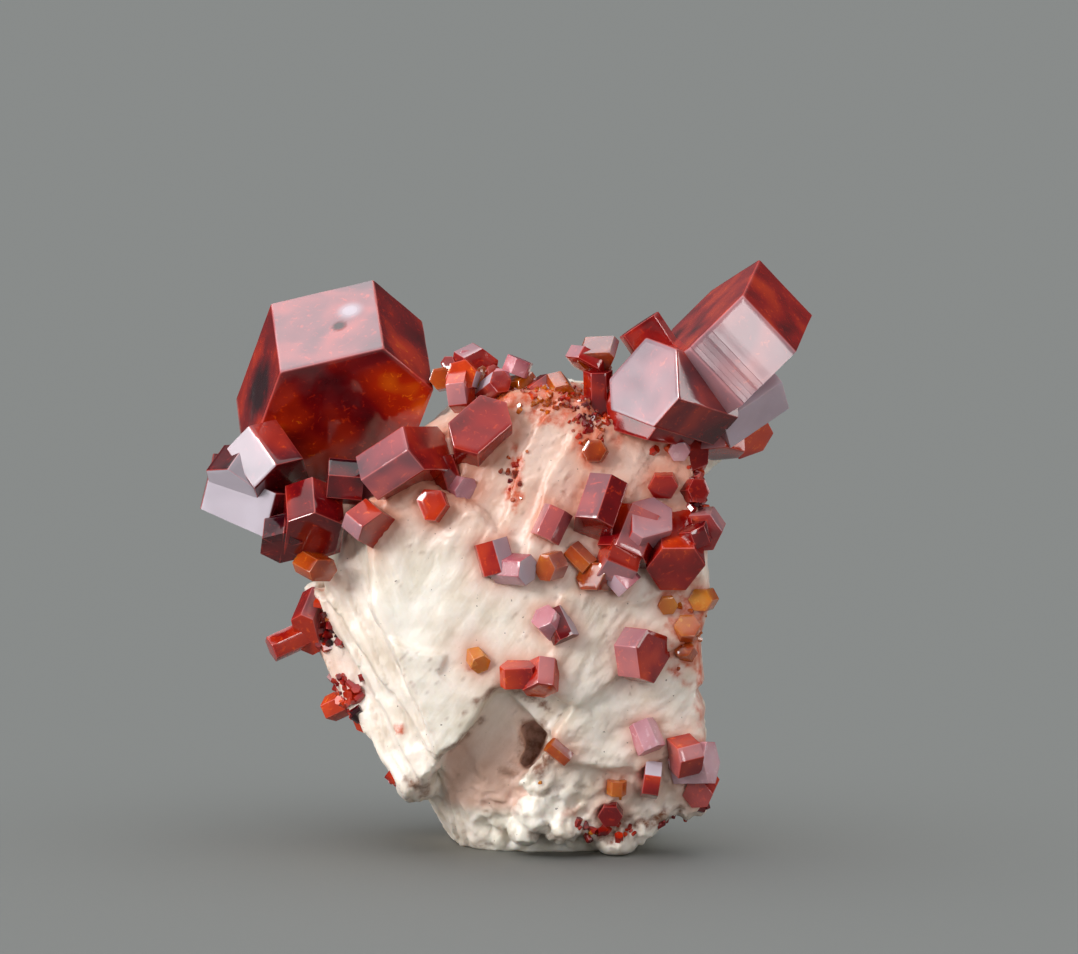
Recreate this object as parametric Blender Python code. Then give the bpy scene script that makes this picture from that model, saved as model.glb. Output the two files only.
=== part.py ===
"""Vanadinite on matrix: red hexagonal crystals on a block of bladed white barite.

Everything is in millimetres here and is built in metres, +Z up. The front of the
specimen looks towards -Y, and the block stands on the flat cut at z = 0. The origin is
under the middle of the whole specimen.
"""

import math
import random

import bmesh
import bpy
from mathutils import Matrix, Vector

MM = 0.001
SOCKET_GAP = 0.3          # room between a crystal and the barite around its root
FLOOR_CUT = 0.0           # height of the flat cut that the block stands on
RING_POINTS = 16          # corners of each level of the block's core
RING_ROUNDNESS = 2.5      # 2 is an ellipse, more is squarer
MIDDLE = (0.14, 0.02)      # middle of the specimen's outline, which becomes the origin

# Core of the barite block, bottom to top: height, left, right, front, back.
CORE_LEVELS = (
    (-0.6, -3.6, 10.2, -4.4, 6.4),
    (2.0, -5.2, 12.0, -5.8, 7.2),
    (5.0, -6.8, 13.0, -7.0, 7.8),
    (9.0, -8.8, 13.2, -8.0, 8.0),
    (13.0, -10.6, 13.2, -8.7, 8.2),
    (17.0, -12.0, 13.4, -8.8, 8.2),
    (21.0, -13.2, 13.6, -8.4, 7.8),
    (25.0, -12.8, 13.2, -7.6, 7.0),
    (29.0, -9.2, 12.0, -6.4, 5.6),
    (32.0, -4.8, 8.8, -5.0, 4.2),
    (34.4, -1.2, 6.0, -2.8, 2.4),
)

# Broad blades on the front: depth of the face at the outline's middle, how fast the face
# goes back to the right and upwards, and the outline as (x, z) seen from the front.
FACE_THICKNESS = 4.0
FACE_CHAMFER = 0.7
FACE_BLADES = (
    (-3.4, -0.55, 0.10, ((-14.7, 18.4), (-13.9, 18.9), (-9.6, 12.2), (-5.5, 5.8),
                         (-7.3, 4.4), (-11.9, 11.0), (-14.4, 16.2))),
    (-5.4, -0.45, 0.10, ((-14.0, 18.9), (-12.6, 18.5), (-8.1, 11.6), (-4.8, 7.1),
                         (-6.2, 5.7), (-10.0, 12.6), (-13.6, 18.0))),
    (-7.0, -0.35, 0.10, ((-13.2, 20.6), (-11.0, 19.4), (-5.9, 12.4), (-3.7, 8.6),
                         (-4.9, 7.2), (-8.4, 12.4), (-12.9, 18.6))),
    (-9.5, -0.10, 0.07, ((-9.8, 26.0), (-6.1, 27.6), (-1.8, 25.6), (3.8, 19.8), (3.2, 12.9),
                         (0.3, 12.9), (-0.9, 12.8), (-2.2, 10.6), (-3.5, 8.7), (-4.9, 8.0),
                         (-6.6, 12.2), (-9.7, 19.0))),
    (-9.9, -0.04, 0.00, ((-8.4, 16.4), (-6.5, 15.6), (-4.3, 15.4), (-4.9, 13.9),
                         (-3.7, 12.9), (-2.0, 12.2), (-2.6, 10.6), (-3.9, 8.9), (-4.9, 8.4),
                         (-7.2, 13.0))),
    (-6.9, -0.10, 0.26, ((-4.4, 23.4), (-2.6, 30.8), (0.2, 34.0), (4.2, 34.2), (2.2, 31.6),
                         (1.0, 28.8), (-0.6, 24.0))),
    (-7.7, -0.02, 0.24, ((-0.8, 23.2), (0.9, 28.8), (2.2, 31.8), (4.1, 33.8), (5.8, 33.4),
                         (6.8, 32.2), (3.4, 27.0), (1.4, 22.0))),
    (-8.2, 0.14, 0.20, ((1.2, 22.0), (3.1, 28.5), (5.0, 31.5), (7.6, 32.4), (13.2, 30.6),
                        (14.4, 25.0), (14.6, 20.8), (9.8, 18.8), (4.0, 19.4))),
    (-9.2, 0.20, 0.03, ((3.0, 12.8), (3.9, 19.8), (9.8, 20.4), (14.7, 20.8), (14.9, 18.6),
                        (14.0, 16.4), (8.5, 13.8), (5.3, 11.6))),
    (-8.4, 0.24, 0.02, ((3.5, 9.8), (5.3, 11.8), (8.5, 14.0), (14.1, 16.5), (14.4, 12.7),
                        (13.9, 12.2), (14.5, 10.9), (14.6, 8.6), (9.9, 6.6), (4.0, 7.3))),
    (-7.6, 0.16, -0.24, ((2.8, 8.0), (9.9, 8.8), (14.5, 8.7), (14.5, 5.0), (11.2, 2.2),
                         (7.6, 1.2), (3.4, 2.2))),
)

# Fans of upright blades that share a spine, like the pages of a book: middle of the
# spine, its bearing and rise, bearing of the first page around it, step between pages,
# how many, then the length, reach and thickness of a page.
FANS = (
    ((-5.6, 1.6, 20.6), (150, 66), (88, 20, 6), (15.0, 9.4, 1.6)),
    ((-3.6, 2.2, 10.4), (200, 52), (82, 22, 6), (13.5, 8.2, 1.6)),
    ((5.4, 1.2, 21.6), (40, 64), (-28, 22, 7), (15.5, 8.8, 1.7)),
    ((5.6, 1.6, 11.0), (-40, 46), (-44, 23, 7), (14.5, 8.8, 1.6)),
    ((1.4, 0.6, 25.6), (95, 16), (-70, 24, 7), (11.0, 8.6, 1.5)),
    ((3.0, 1.2, 6.0), (10, 12), (40, 26, 5), (15.0, 7.4, 1.6)),
    ((-10.4, 4.0, 26.4), (128, 62), (36, 25, 6), (12.5, 6.6, 1.7)),
    ((12.2, 2.4, 31.6), (60, 66), (-72, 25, 7), (8.4, 5.0, 1.6)),
    ((2.2, 2.6, 30.2), (104, 52), (8, 33, 6), (9.0, 5.4, 1.5)),
)
PAGE_OUTLINE = ((-0.50, 0.00), (-0.46, 0.68), (-0.18, 0.98), (0.26, 0.94), (0.47, 0.62),
                (0.50, 0.00))

# Rounded knobs along the lower edge: middle and radii.
KNOBS = (
    ((2.7, -7.0, 6.1), (1.9, 1.9, 1.5)),
    ((2.4, -6.4, 3.4), (1.7, 2.2, 1.6)),
    ((4.2, -6.8, 2.4), (1.5, 1.9, 1.5)),
    ((1.5, -5.6, 2.0), (1.2, 1.8, 1.2)),
    ((8.2, -5.2, 1.3), (1.8, 2.2, 1.5)),
    ((9.8, -5.4, 2.0), (1.5, 2.0, 1.3)),
    ((13.4, -4.6, 4.0), (1.6, 2.1, 1.4)),
    ((-6.4, -3.6, 4.9), (1.7, 2.0, 1.2)),
)

# Broken hollow in the lower front: depth of its floor at the middle, its slopes, outline.
NOTCHES = (
    (-7.0, 0.02, -0.10, ((-4.9, 7.6), (-3.6, 8.6), (-2.3, 10.3), (-1.0, 12.6), (0.3, 12.7),
                         (2.0, 10.9), (3.3, 9.3), (3.0, 8.4), (2.2, 7.0), (1.0, 5.5),
                         (0.8, 3.0), (-0.4, -2.0), (-7.0, -2.0), (-6.0, 4.6))),
    (-5.2, 0.00, 0.00, ((0.9, 9.9), (2.2, 10.2), (3.2, 9.2), (2.9, 8.2), (1.9, 6.6),
                        (1.0, 6.4), (1.6, 8.2))),
)

# Crystals are six-sided prisms. Each line: the middle of the tip face, the bearing and rise
# of the long axis towards the tip, the turn about that axis, the width across the flats
# and the length. A last entry says how far sides 0 to 5 stand out, where they are uneven.
CRYSTALS = {
    "giant_cluster": (
        ((-12.2, -2.0, 30.9), (-82.5, -31), 15.5, 13.2, 8.6, (1.12, 0.98, 0.88, 1.10, 1.0, 0.86)),
        ((-16.2, -4.5, 27.0), (-46, -41.5), 10.5, 5.5, 4.0, (0.76, 1.08, 1.08, 0.78, 1.07, 1.10)),
        ((-18.3, -3.0, 27.9), (-40.5, 71), 222, 6.4, 3.5, (1.18, 1.0, 0.73, 1.13, 1.05, 0.68)),
        ((-19.9, -4.5, 26.8), (-130.5, -41.5), 9, 4.3, 2.6),
        ((-16.2, -5.0, 24.1), (86.5, 42.5), 39, 3.0, 2.0),
        ((-14.0, -7.0, 23.5), (-83.5, -44), 27.5, 4.9, 3.4, (1.03, 1.08, 0.82, 1.10, 1.0, 0.89)),
        ((-13.2, -7.5, 21.2), (-56.5, -11.5), 356, 2.0, 2.4, (1.09, 0.85, 1.02, 1.11, 0.82, 1.04)),
        ((-13.0, -6.0, 27.7), (-175.5, 5), 19, 3.0, 2.6),
    ),
    "lilac_crystal_group": (
        ((-5.3, -7.4, 30.2), (-22, 32.5), 354, 6.3, 4.4, (1.11, 0.59, 1.09, 1.13, 0.57, 1.11)),
        ((-6.3, -6.2, 28.4), (-58, -37.5), 2.5, 2.6, 2.2, (0.92, 0.92, 1.13, 0.92, 0.91, 1.13)),
        ((-3.6, -6.8, 26.5), (-49.5, -63), 29.5, 1.9, 3.0),
        ((-2.8, -7.8, 27.2), (-57, -3.5), 350, 1.7, 2.6, (1.11, 1.0, 0.87, 1.11, 1.0, 0.86)),
        ((-5.3, -9.4, 26.4), (-106, 14), 57, 2.1, 3.0, (0.93, 1.05, 0.90, 1.22, 0.96, 0.94)),
        ((-1.8, -8.0, 32.0), (-91, 28), 343.5, 4.2, 4.4, (1.09, 1.07, 0.80, 1.06, 1.09, 0.77)),
    ),
    "red_crystal_upper": (
        ((-9.2, -9.0, 24.3), (-42.5, -28.5), 36, 3.2, 1.9, (0.86, 0.98, 1.14, 0.83, 1.0, 1.11)),
    ),
    "pink_box_crystal": (((-9.3, -5.0, 27.5), (75, 78), 24, 1.9, 2.0),),
    "right_crown": (
        ((14.55, -4.2, 39.6), (-173.5, 46.5), 35.5, 11.1, 5.7, (0.88, 0.98, 1.13, 0.81, 1.05, 1.07)),
        ((10.2, -9.4, 35.1), (-136, 16), 349, 6.3, 6.4, (1.0, 1.0, 0.92, 1.13, 0.87, 1.05)),
        ((9.7, -8.2, 33.8), (-136, 10), 352, 5.8, 4.4, (1.0, 1.0, 0.95, 1.12, 0.92, 1.0)),
        ((9.8, -3.2, 38.9), (180, 56), 330, 3.0, 4.6, (0.46, 1.0, 1.0, 0.46, 1.0, 1.0)),
        ((19.2, -3.6, 34.8), (24, 30), 57, 4.7, 5.5),
        ((18.2, -3.6, 30.4), (-48, -29.5), 16.5, 3.3, 4.5, (1.0, 0.90, 1.07, 1.0, 0.89, 1.08)),
        ((15.7, -4.7, 29.5), (-89.5, -69), 18.5, 3.4, 2.6),
        ((6.8, -5.4, 35.7), (-99, 81.5), 11, 1.9, 4.4),
        ((6.7, -5.5, 36.3), (-103, -35), 4.5, 2.4, 1.9, (1.20, 0.73, 1.10, 1.0, 0.93, 0.90)),
        ((5.9, -4.5, 35.8), (-145.5, -55), 2.5, 3.0, 1.0),
        ((13.8, -6.2, 29.7), (-70, 14), 20, 2.3, 3.0),
        ((12.7, -7.4, 29.9), (-91.5, -13.5), 0, 1.4, 2.4),
        ((13.4, -5.6, 28.7), (-119, -6), 358.5, 1.3, 1.8),
    ),
    "centre_cluster": (
        ((12.4, -10.3, 21.7), (-87, -31), 359.5, 3.8, 5.0, (1.07, 0.98, 0.98, 1.0, 1.05, 0.91)),
        ((10.6, -10.1, 25.4), (-67.5, 44), 13.5, 3.5, 4.6, (1.10, 0.97, 0.82, 1.21, 0.85, 0.94)),
        ((8.6, -9.7, 22.5), (-132, -57), 9.5, 3.7, 3.4),
        ((6.4, -10.4, 24.6), (-123.5, -57), 358.5, 3.7, 3.6, (1.12, 1.03, 0.77, 1.14, 1.02, 0.79)),
        ((9.1, -10.2, 20.35), (-10, -47.5), 61, 2.0, 2.6),
        ((9.3, -9.7, 21.8), (14, -23), 7.5, 3.0, 2.4),
        ((6.2, -10.5, 21.2), (-128, 9), 3.5, 2.2, 2.6, (1.11, 0.90, 0.96, 1.11, 0.91, 0.96)),
        ((6.2, -9.8, 21.7), (-25, -40.5), 25, 1.5, 2.0),
        ((13.6, -9.7, 24.7), (-155.5, 67.5), 23.5, 2.0, 1.4),
        ((14.3, -8.0, 24.05), (-98, -8), 4, 2.7, 2.4),
    ),
    "pinkish_bar": (((2.9, -9.8, 23.8), (-155, -61.5), 4, 2.0, 2.4),),
    "orange_crystal_right": (
        ((11.5, -8.2, 27.4), (-92, -9), 0, 1.9, 1.6, (1.07, 0.87, 1.0, 1.05, 0.90, 1.0)),
    ),
    "edge_crystal": (((14.15, -7.6, 27.1), (-57, 8.5), 353, 1.7, 2.6),),
    "white_tipped_group": (
        ((1.7, -11.0, 21.7), (-39, 1), 18.5, 2.0, 2.8, (1.08, 0.94, 1.0, 1.03, 1.0, 0.94)),
        ((2.9, -10.8, 21.8), (-127.5, -5), 0, 1.8, 1.6, (0.95, 1.12, 0.87, 1.03, 1.05, 0.94)),
        ((-0.4, -9.5, 21.3), (-21, -73), 29, 2.4, 2.4),
    ),
    "pink_and_dark_pair": (
        ((4.5, -10.4, 16.5), (-39.5, -57.5), 45, 1.8, 2.4),
        ((2.8, -10.8, 18.3), (-128.5, 38), 32, 1.8, 2.4),
    ),
    "yellow_crystal": (((-1.7, -10.4, 14.7), (-68.5, -24.5), 22, 1.4, 2.0),),
    "step_pair": (
        ((2.6, -11.1, 12.9), (-96.5, -55.5), 345, 2.3, 2.2, (1.08, 1.04, 0.84, 1.11, 1.0, 0.87)),
        ((1.0, -10.6, 14.8), (-98, 73.5), 8.5, 2.3, 1.6, (1.0, 0.93, 0.94, 1.16, 0.77, 1.11)),
    ),
    "low_large_crystal": (
        ((10.75, -10.2, 15.4), (-38, 0), 42, 3.7, 2.0, (0.90, 1.04, 0.98, 1.05, 0.92, 1.10)),
    ),
    "lilac_bar_low": (((10.75, -8.9, 8.2), (-40, -60), 51, 1.9, 2.2),),
    "low_edge_cluster": (
        ((15.1, -7.7, 7.3), (-25, 5), 351, 2.7, 2.8, (1.0, 1.0, 1.0, 1.0, 1.26, 1.1)),
        ((12.2, -8.6, 7.6), (-161, -11), 347, 3.1, 1.8, (1.17, 0.82, 0.98, 1.12, 0.87, 0.93)),
        ((14.1, -7.3, 4.65), (-102.5, -14), 5.5, 2.0, 2.8),
    ),
    "white_and_red_bar": (((10.1, -8.0, 6.0), (-178.5, 8.5), 20, 2.5, 1.2),),
    "amber_chip": (((8.15, -8.0, 4.8), (106, -81), 13.5, 1.3, 1.1),),
    "foot_crystal": (((7.7, -8.2, 3.2), (-93, -17), 0.5, 1.6, 2.4),),
    "hollow_bar": (((4.6, -9.6, 7.65), (13.5, -40), 54.5, 1.2, 1.8),),
    "amber_crystal_a": (((11.9, -9.0, 18.8), (-81, -10.5), 2, 1.3, 1.6),),
    "amber_pair": (
        ((13.3, -9.0, 17.4), (-84, 29), 359, 1.7, 2.0),
        ((13.0, -8.2, 15.7), (-105, 27), 5, 1.4, 1.8),
    ),
    "amber_crystal_b": (((14.2, -8.6, 19.2), (-108.5, 3), 0, 1.6, 1.8),),
    "left_edge_pair": (
        ((-14.7, -2.2, 15.8), (-105, -30.5), 333, 3.0, 3.4, (0.56, 1.11, 1.10, 0.60, 1.07, 1.15)),
        ((-17.3, -2.0, 14.7), (-162, -22), 26.5, 1.8, 4.8),
    ),
    "left_red_crystal_a": (((-12.0, -1.6, 12.7), (-123.5, -21.5), 339.5, 1.6, 2.2),),
    "left_red_crystal_b": (((-11.5, -0.9, 10.8), (-42.5, 23.5), 340.5, 1.8, 2.2),),
    "left_red_crystal_c": (((-10.6, -0.6, 9.0), (-124.5, -20), 342.5, 1.7, 1.9),),
    "round_orange_crystal": (((6.5, -8.2, 30.1), (-102.5, 12), 1, 1.6, 1.8),),
    "back_crystal_large": (((-2.4, 11.15, 22.4), (104, 24), 12, 5.2, 5.4),),
    "back_crystal_dark": (((5.8, 11.0, 14.2), (78, -12), 34, 3.8, 4.2),),
    "back_crystal_small": (((1.6, 11.4, 28.0), (88, 40), 20, 2.6, 3.4),),
    "back_crystal_low": (((-5.2, 10.2, 9.6), (122, 8), 5, 2.4, 3.0),),
    "right_side_crystal": (((14.0, 6.0, 20.4), (40, 18), 28, 3.0, 3.6),),
    "right_side_crystal_low": (((14.2, 2.6, 10.2), (-6, -8), 14, 2.4, 3.2),),
}

# Grains of the granular crust on the top: the line that they follow, their spacing, the
# spread about the line and the range of their widths across the flats.
CRUST_LINE = ((-4.6, -3.2, 34.6), (-1.8, -2.8, 34.8), (1.6, -3.4, 34.2), (4.2, -4.4, 33.9),
              (5.0, -4.8, 33.2))
CRUST_STEP = 0.8
CRUST_SPREAD = 0.3
CRUST_WIDTHS = (1.2, 1.8)
CRUST_SEED = 11
CRUST_CRYSTALS = (
    ((-3.9, -4.5, 34.0), (166, -7.5), 26.5, 2.8, 1.4),
    ((-3.2, -5.0, 35.3), (-100.5, 8), 315, 2.1, 3.4),
    ((-1.8, -3.2, 35.9), (-68, -8), 24, 2.4, 2.0, (0.89, 0.91, 1.16, 0.88, 0.92, 1.15)),
    ((0.7, -4.0, 35.3), (-176, -68), 20, 1.8, 1.2),
    ((-0.3, -5.4, 34.9), (-64.5, 23), 3.5, 1.6, 2.8),
    ((-4.2, -3.6, 36.1), (-110.5, 25), 3, 1.0, 2.4),
    ((-2.9, -2.8, 36.5), (-97.5, 4), 3.5, 0.9, 2.0),
)

# Colour and roughness of each kind of surface.
BARITE_LOOK = ((0.72, 0.68, 0.60), 0.55)
MAROON_LOOK = ((0.16, 0.010, 0.012), 0.18)
RED_LOOK = ((0.33, 0.016, 0.012), 0.20)
ORANGE_LOOK = ((0.62, 0.13, 0.02), 0.25)
LILAC_LOOK = ((0.42, 0.22, 0.27), 0.20)


def new_object(name, bm):
    """Turn a bmesh into an object of the scene, with its faces pointing outwards."""
    bmesh.ops.recalc_face_normals(bm, faces=bm.faces)
    mesh = bpy.data.meshes.new(name)
    bm.to_mesh(mesh)
    bm.free()
    obj = bpy.data.objects.new(name, mesh)
    bpy.context.scene.collection.objects.link(obj)
    return obj


def make_guide(obj, collection):
    """Keep a cutter or an operand out of the finished model."""
    bpy.context.scene.collection.objects.unlink(obj)
    collection.objects.link(obj)
    obj.hide_render = True
    obj.display_type = "WIRE"


def bridge_rings(bm, rings):
    """Skin closed rings of equal length and cap both ends."""
    for low, high in zip(rings, rings[1:]):
        count = len(low)
        for i in range(count):
            j = (i + 1) % count
            bm.faces.new((low[i], low[j], high[j], high[i]))
    bm.faces.new(rings[0][::-1])
    bm.faces.new(rings[-1])


def core_ring(bm, level, index):
    """One level of the core: a rounded box outline, each level turned a little."""
    height, left, right, front, back = level
    middle_x, middle_y = (left + right) / 2, (front + back) / 2
    half_x, half_y = (right - left) / 2, (back - front) / 2
    ring = []
    for i in range(RING_POINTS):
        angle = 2 * math.pi * (i + 0.5 * (index % 2)) / RING_POINTS
        c, s = math.cos(angle), math.sin(angle)
        power = 2 / RING_ROUNDNESS
        x = middle_x + half_x * math.copysign(abs(c) ** power, c)
        y = middle_y + half_y * math.copysign(abs(s) ** power, s)
        ring.append(bm.verts.new(Vector((x, y, height)) * MM))
    return ring


def build_core():
    bm = bmesh.new()
    rings = [core_ring(bm, level, i) for i, level in enumerate(CORE_LEVELS)]
    bridge_rings(bm, rings)
    return new_object("barite_matrix", bm)


def outline_middle(outline):
    return (
        sum(p[0] for p in outline) / len(outline),
        sum(p[1] for p in outline) / len(outline),
    )


def slab(name, rings):
    """A blade seen from the front, skinned over outlines at one depth behind another.

    Each ring is (outline, depth, slope_x, slope_z, flare), from one end to the other.
    """
    bm = bmesh.new()
    skin = []
    for outline, depth, slope_x, slope_z, flare in rings:
        cx, cz = outline_middle(outline)
        ring = []
        for x, z in outline:
            y = depth + slope_x * (x - cx) + slope_z * (z - cz)
            wide_x, wide_z = cx + (x - cx) * flare, cz + (z - cz) * flare
            ring.append(bm.verts.new(Vector((wide_x, y, wide_z)) * MM))
        skin.append(ring)
    bridge_rings(bm, skin)
    return new_object(name, bm)


def face_blade(name, depth, slope_x, slope_z, outline):
    """A broad front blade with a chamfered rim."""
    rings = (
        (outline, depth, slope_x, slope_z, 0.97),
        (outline, depth + FACE_CHAMFER, slope_x, slope_z, 1.03),
        (outline, depth + FACE_THICKNESS, slope_x, slope_z, 1.06),
    )
    return slab(name, rings)


def notch_cutter(name, depth, slope_x, slope_z, outline):
    """A cutter whose floor is a sloping face, open to the front."""
    rings = (
        (outline, depth - 12.0, slope_x, slope_z, 1.05),
        (outline, depth, slope_x, slope_z, 0.95),
    )
    return slab(name, rings)


def page(name, middle, spine, out, length, reach, thickness):
    """One blade of a fan, thick at mid-plane and bevelled to both sides."""
    side = spine.cross(out)
    bm = bmesh.new()
    skin = []
    for offset, scale in ((-0.5, 0.90), (-0.2, 1.0), (0.2, 1.0), (0.5, 0.90)):
        ring = []
        for along, away in PAGE_OUTLINE:
            point = Vector(middle) + spine * (along * length * scale)
            point += out * (away * reach * scale) + side * (offset * thickness)
            ring.append(bm.verts.new(point * MM))
        skin.append(ring)
    bridge_rings(bm, skin)
    return new_object(name, bm)


def direction(bearing, rise):
    """Unit vector: bearing counter-clockwise from +X seen from above, rise above level."""
    b, r = math.radians(bearing), math.radians(rise)
    return Vector((math.cos(b) * math.cos(r), math.sin(b) * math.cos(r), math.sin(r)))


def fan(name, middle, spine_way, pages, size):
    """The pages of one fan, as separate operands."""
    spine = direction(*spine_way)
    first, step, count = pages
    parts = []
    for i in range(count):
        flat = direction(first + i * step, 0)
        out = (flat - spine * flat.dot(spine)).normalized()
        length, reach, thickness = size
        shrink = 1.0 - 0.07 * (i % 3)
        part = page(f"{name}_{i}", middle, spine, out, length * shrink, reach * shrink, thickness)
        parts.append(part)
    return parts


def knob(name, middle, radii):
    bm = bmesh.new()
    bmesh.ops.create_icosphere(bm, subdivisions=2 if max(radii) > 2.0 else 1, radius=1.0)
    place = Matrix.Translation(Vector(middle) * MM) @ Matrix.Diagonal((*[r * MM for r in radii], 1))
    bm.transform(place)
    return new_object(name, bm)


def new_collection(name):
    collection = bpy.data.collections.new(name)
    bpy.context.scene.collection.children.link(collection)
    return collection


def boolean(obj, operation, collection, solver="EXACT"):
    modifier = obj.modifiers.new(collection.name, "BOOLEAN")
    modifier.operation = operation
    modifier.operand_type = "COLLECTION"
    modifier.collection = collection
    modifier.solver = solver


def body_around(vert):
    """All the corners that are joined to this one by edges."""
    found = {vert}
    stack = [vert]
    while stack:
        for edge in stack.pop().link_edges:
            for other in edge.verts:
                if other not in found:
                    found.add(other)
                    stack.append(other)
    return found


def settle(obj):
    """Apply the modifiers and take away the crumbs that the cuts left loose."""
    graph = bpy.context.evaluated_depsgraph_get()
    mesh = bpy.data.meshes.new_from_object(obj.evaluated_get(graph))
    obj.modifiers.clear()
    bm = bmesh.new()
    bm.from_mesh(mesh)
    left = set(bm.verts)
    bodies = []
    while left:
        body = body_around(next(iter(left)))
        bodies.append(body)
        left -= body
    bodies.sort(key=len)
    for crumb in bodies[:-1]:
        bmesh.ops.delete(bm, geom=list(crumb), context="VERTS")
    bm.to_mesh(mesh)
    bm.free()
    obj.data = mesh


def floor_cutter():
    """Everything below the flat cut."""
    bm = bmesh.new()
    bmesh.ops.create_cube(bm, size=1.0)
    size = 60.0
    place = Matrix.Translation(Vector((0, 0, FLOOR_CUT - size / 2)) * MM)
    bm.transform(place @ Matrix.Scale(size * MM, 4))
    return new_object("floor_cutter", bm)


def prism(name, tip, way, turn, width, length, sides=(1.0,) * 6, grow=0.0):
    """A six-sided crystal from its tip face back along its axis, grown all round."""
    axis = direction(*way)
    bearing = math.radians(way[0])
    level = Vector((-math.sin(bearing), math.cos(bearing), 0.0))
    upward = axis.cross(level)
    t = math.radians(turn)
    u = level * math.cos(t) + upward * math.sin(t)
    v = axis.cross(u)
    corners = [side_corner(k, width, sides, grow) for k in range(6)]
    bm = bmesh.new()
    rings = []
    for back in (length + grow, -grow):
        base = Vector(tip) - axis * back
        rings.append([bm.verts.new((base + u * a + v * b) * MM) for a, b in corners])
    bridge_rings(bm, rings)
    return new_object(name, bm)


def side_corner(k, width, sides, grow):
    """Where side k - 1 and side k of a crystal meet, in the plane across its axis."""
    rows = []
    for side in ((k - 1) % 6, k):
        angle = math.radians(60 * side + 30)
        reach = sides[side] * width / 2 + grow
        rows.append((math.cos(angle), math.sin(angle), reach))
    (a, b, p), (c, d, q) = rows
    span = a * d - b * c
    return (p * d - q * b) / span, (a * q - c * p) / span


def crust_grains():
    """The small crystals of the crust, each one overlapping the one before it."""
    rng = random.Random(CRUST_SEED)
    grains = []
    for start, end in zip(CRUST_LINE, CRUST_LINE[1:]):
        start, end = Vector(start), Vector(end)
        steps = max(1, round((end - start).length / CRUST_STEP))
        for i in range(steps):
            middle = start.lerp(end, i / steps)
            middle += Vector([rng.uniform(-CRUST_SPREAD, CRUST_SPREAD) for _ in range(3)])
            way = (rng.uniform(-150, -30), rng.uniform(-30, 50))
            width = rng.uniform(*CRUST_WIDTHS)
            tip = middle + direction(*way) * (0.5 * width)
            grains.append((tip, way, rng.uniform(0, 60), width, 1.2 * width))
    return grains


def look(name, colour, roughness):
    material = bpy.data.materials.new(name)
    material.use_nodes = True
    shader = material.node_tree.nodes["Principled BSDF"]
    shader.inputs["Base Color"].default_value = (*colour, 1.0)
    shader.inputs["Roughness"].default_value = roughness
    shader.inputs["Metallic"].default_value = 0.0
    return material


def crystal_look(node):
    """Colour of a node of crystals, from the words in its name."""
    for words, colour in (
        (("orange", "amber", "yellow", "crust"), ORANGE_LOOK),
        (("lilac", "pink", "purple", "white"), LILAC_LOOK),
        (("red", "edge", "centre", "crown"), RED_LOOK),
    ):
        if any(word in node for word in words):
            return colour
    return MAROON_LOOK


def build_crystals(node, crystals, sockets):
    """One node: the first crystal joined with the others that it grew together with."""
    body = prism(node, *crystals[0])
    body.data.materials.append(look(node, *crystal_look(node)))
    if len(crystals) > 1:
        others = new_collection(f"{node}_joined")
        for i, crystal in enumerate(crystals[1:]):
            make_guide(prism(f"{node}_crystal_{i}", *crystal), others)
        boolean(body, "UNION", others)
    for i, crystal in enumerate(crystals):
        make_guide(prism(f"{node}_socket_{i}", *crystal, grow=SOCKET_GAP), sockets)
    return body


def build_matrix(cuts):
    """The barite block: core and blades joined, then the hollow and the floor cut away."""
    block = build_core()
    block.data.materials.append(look("barite", *BARITE_LOOK))
    blades = new_collection("blades")
    for i, (depth, slope_x, slope_z, outline) in enumerate(FACE_BLADES):
        make_guide(face_blade(f"face_blade_{i}", depth, slope_x, slope_z, outline), blades)
    for i, (middle, spine_way, pages, size) in enumerate(FANS):
        for part in fan(f"fan_{i}", middle, spine_way, pages, size):
            make_guide(part, blades)
    for i, (middle, radii) in enumerate(KNOBS):
        make_guide(knob(f"knob_{i}", middle, radii), blades)
    # The blades meet at slight angles, where the exact solver leaves open edges.
    boolean(block, "UNION", blades, "MANIFOLD")
    for i, (depth, slope_x, slope_z, outline) in enumerate(NOTCHES):
        make_guide(notch_cutter(f"notch_{i}", depth, slope_x, slope_z, outline), cuts)
    make_guide(floor_cutter(), cuts)
    boolean(block, "DIFFERENCE", cuts, "MANIFOLD")
    return block


def clear_scene():
    for obj in list(bpy.data.objects):
        bpy.data.objects.remove(obj, do_unlink=True)


def centre_on_origin():
    """Put the middle of the specimen's outline over the origin."""
    shift = Matrix.Translation(Vector((-MIDDLE[0], -MIDDLE[1], 0.0)) * MM)
    for obj in bpy.data.objects:
        obj.data.transform(shift)


def main():
    clear_scene()
    cuts = new_collection("cuts")
    pieces = [build_matrix(cuts)]
    for node, crystals in CRYSTALS.items():
        pieces.append(build_crystals(node, crystals, cuts))
    pieces.append(build_crystals("top_crust", CRUST_CRYSTALS + tuple(crust_grains()), cuts))
    for piece in pieces:
        settle(piece)
    centre_on_origin()


main()
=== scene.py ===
"""Looks of a vanadinite specimen: red hexagonal crystals on a block of bladed barite.

The tables are in millimetres and become metres where a mesh is made. The front of the
specimen looks towards -Y, and it stands on its flat cut at z = 0.
"""

import logging
import math
import random
from dataclasses import dataclass
from enum import Enum
from typing import Any, Optional, Sequence

import bmesh
import bpy
import numpy as np
from bpy.types import (
    Collection, ColorRamp, ID, Material, Mesh, Node, NodeSocket, NodeTree, Object,
)
from mathutils import Matrix, Vector, noise
from mathutils.bvhtree import BVHTree


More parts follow.
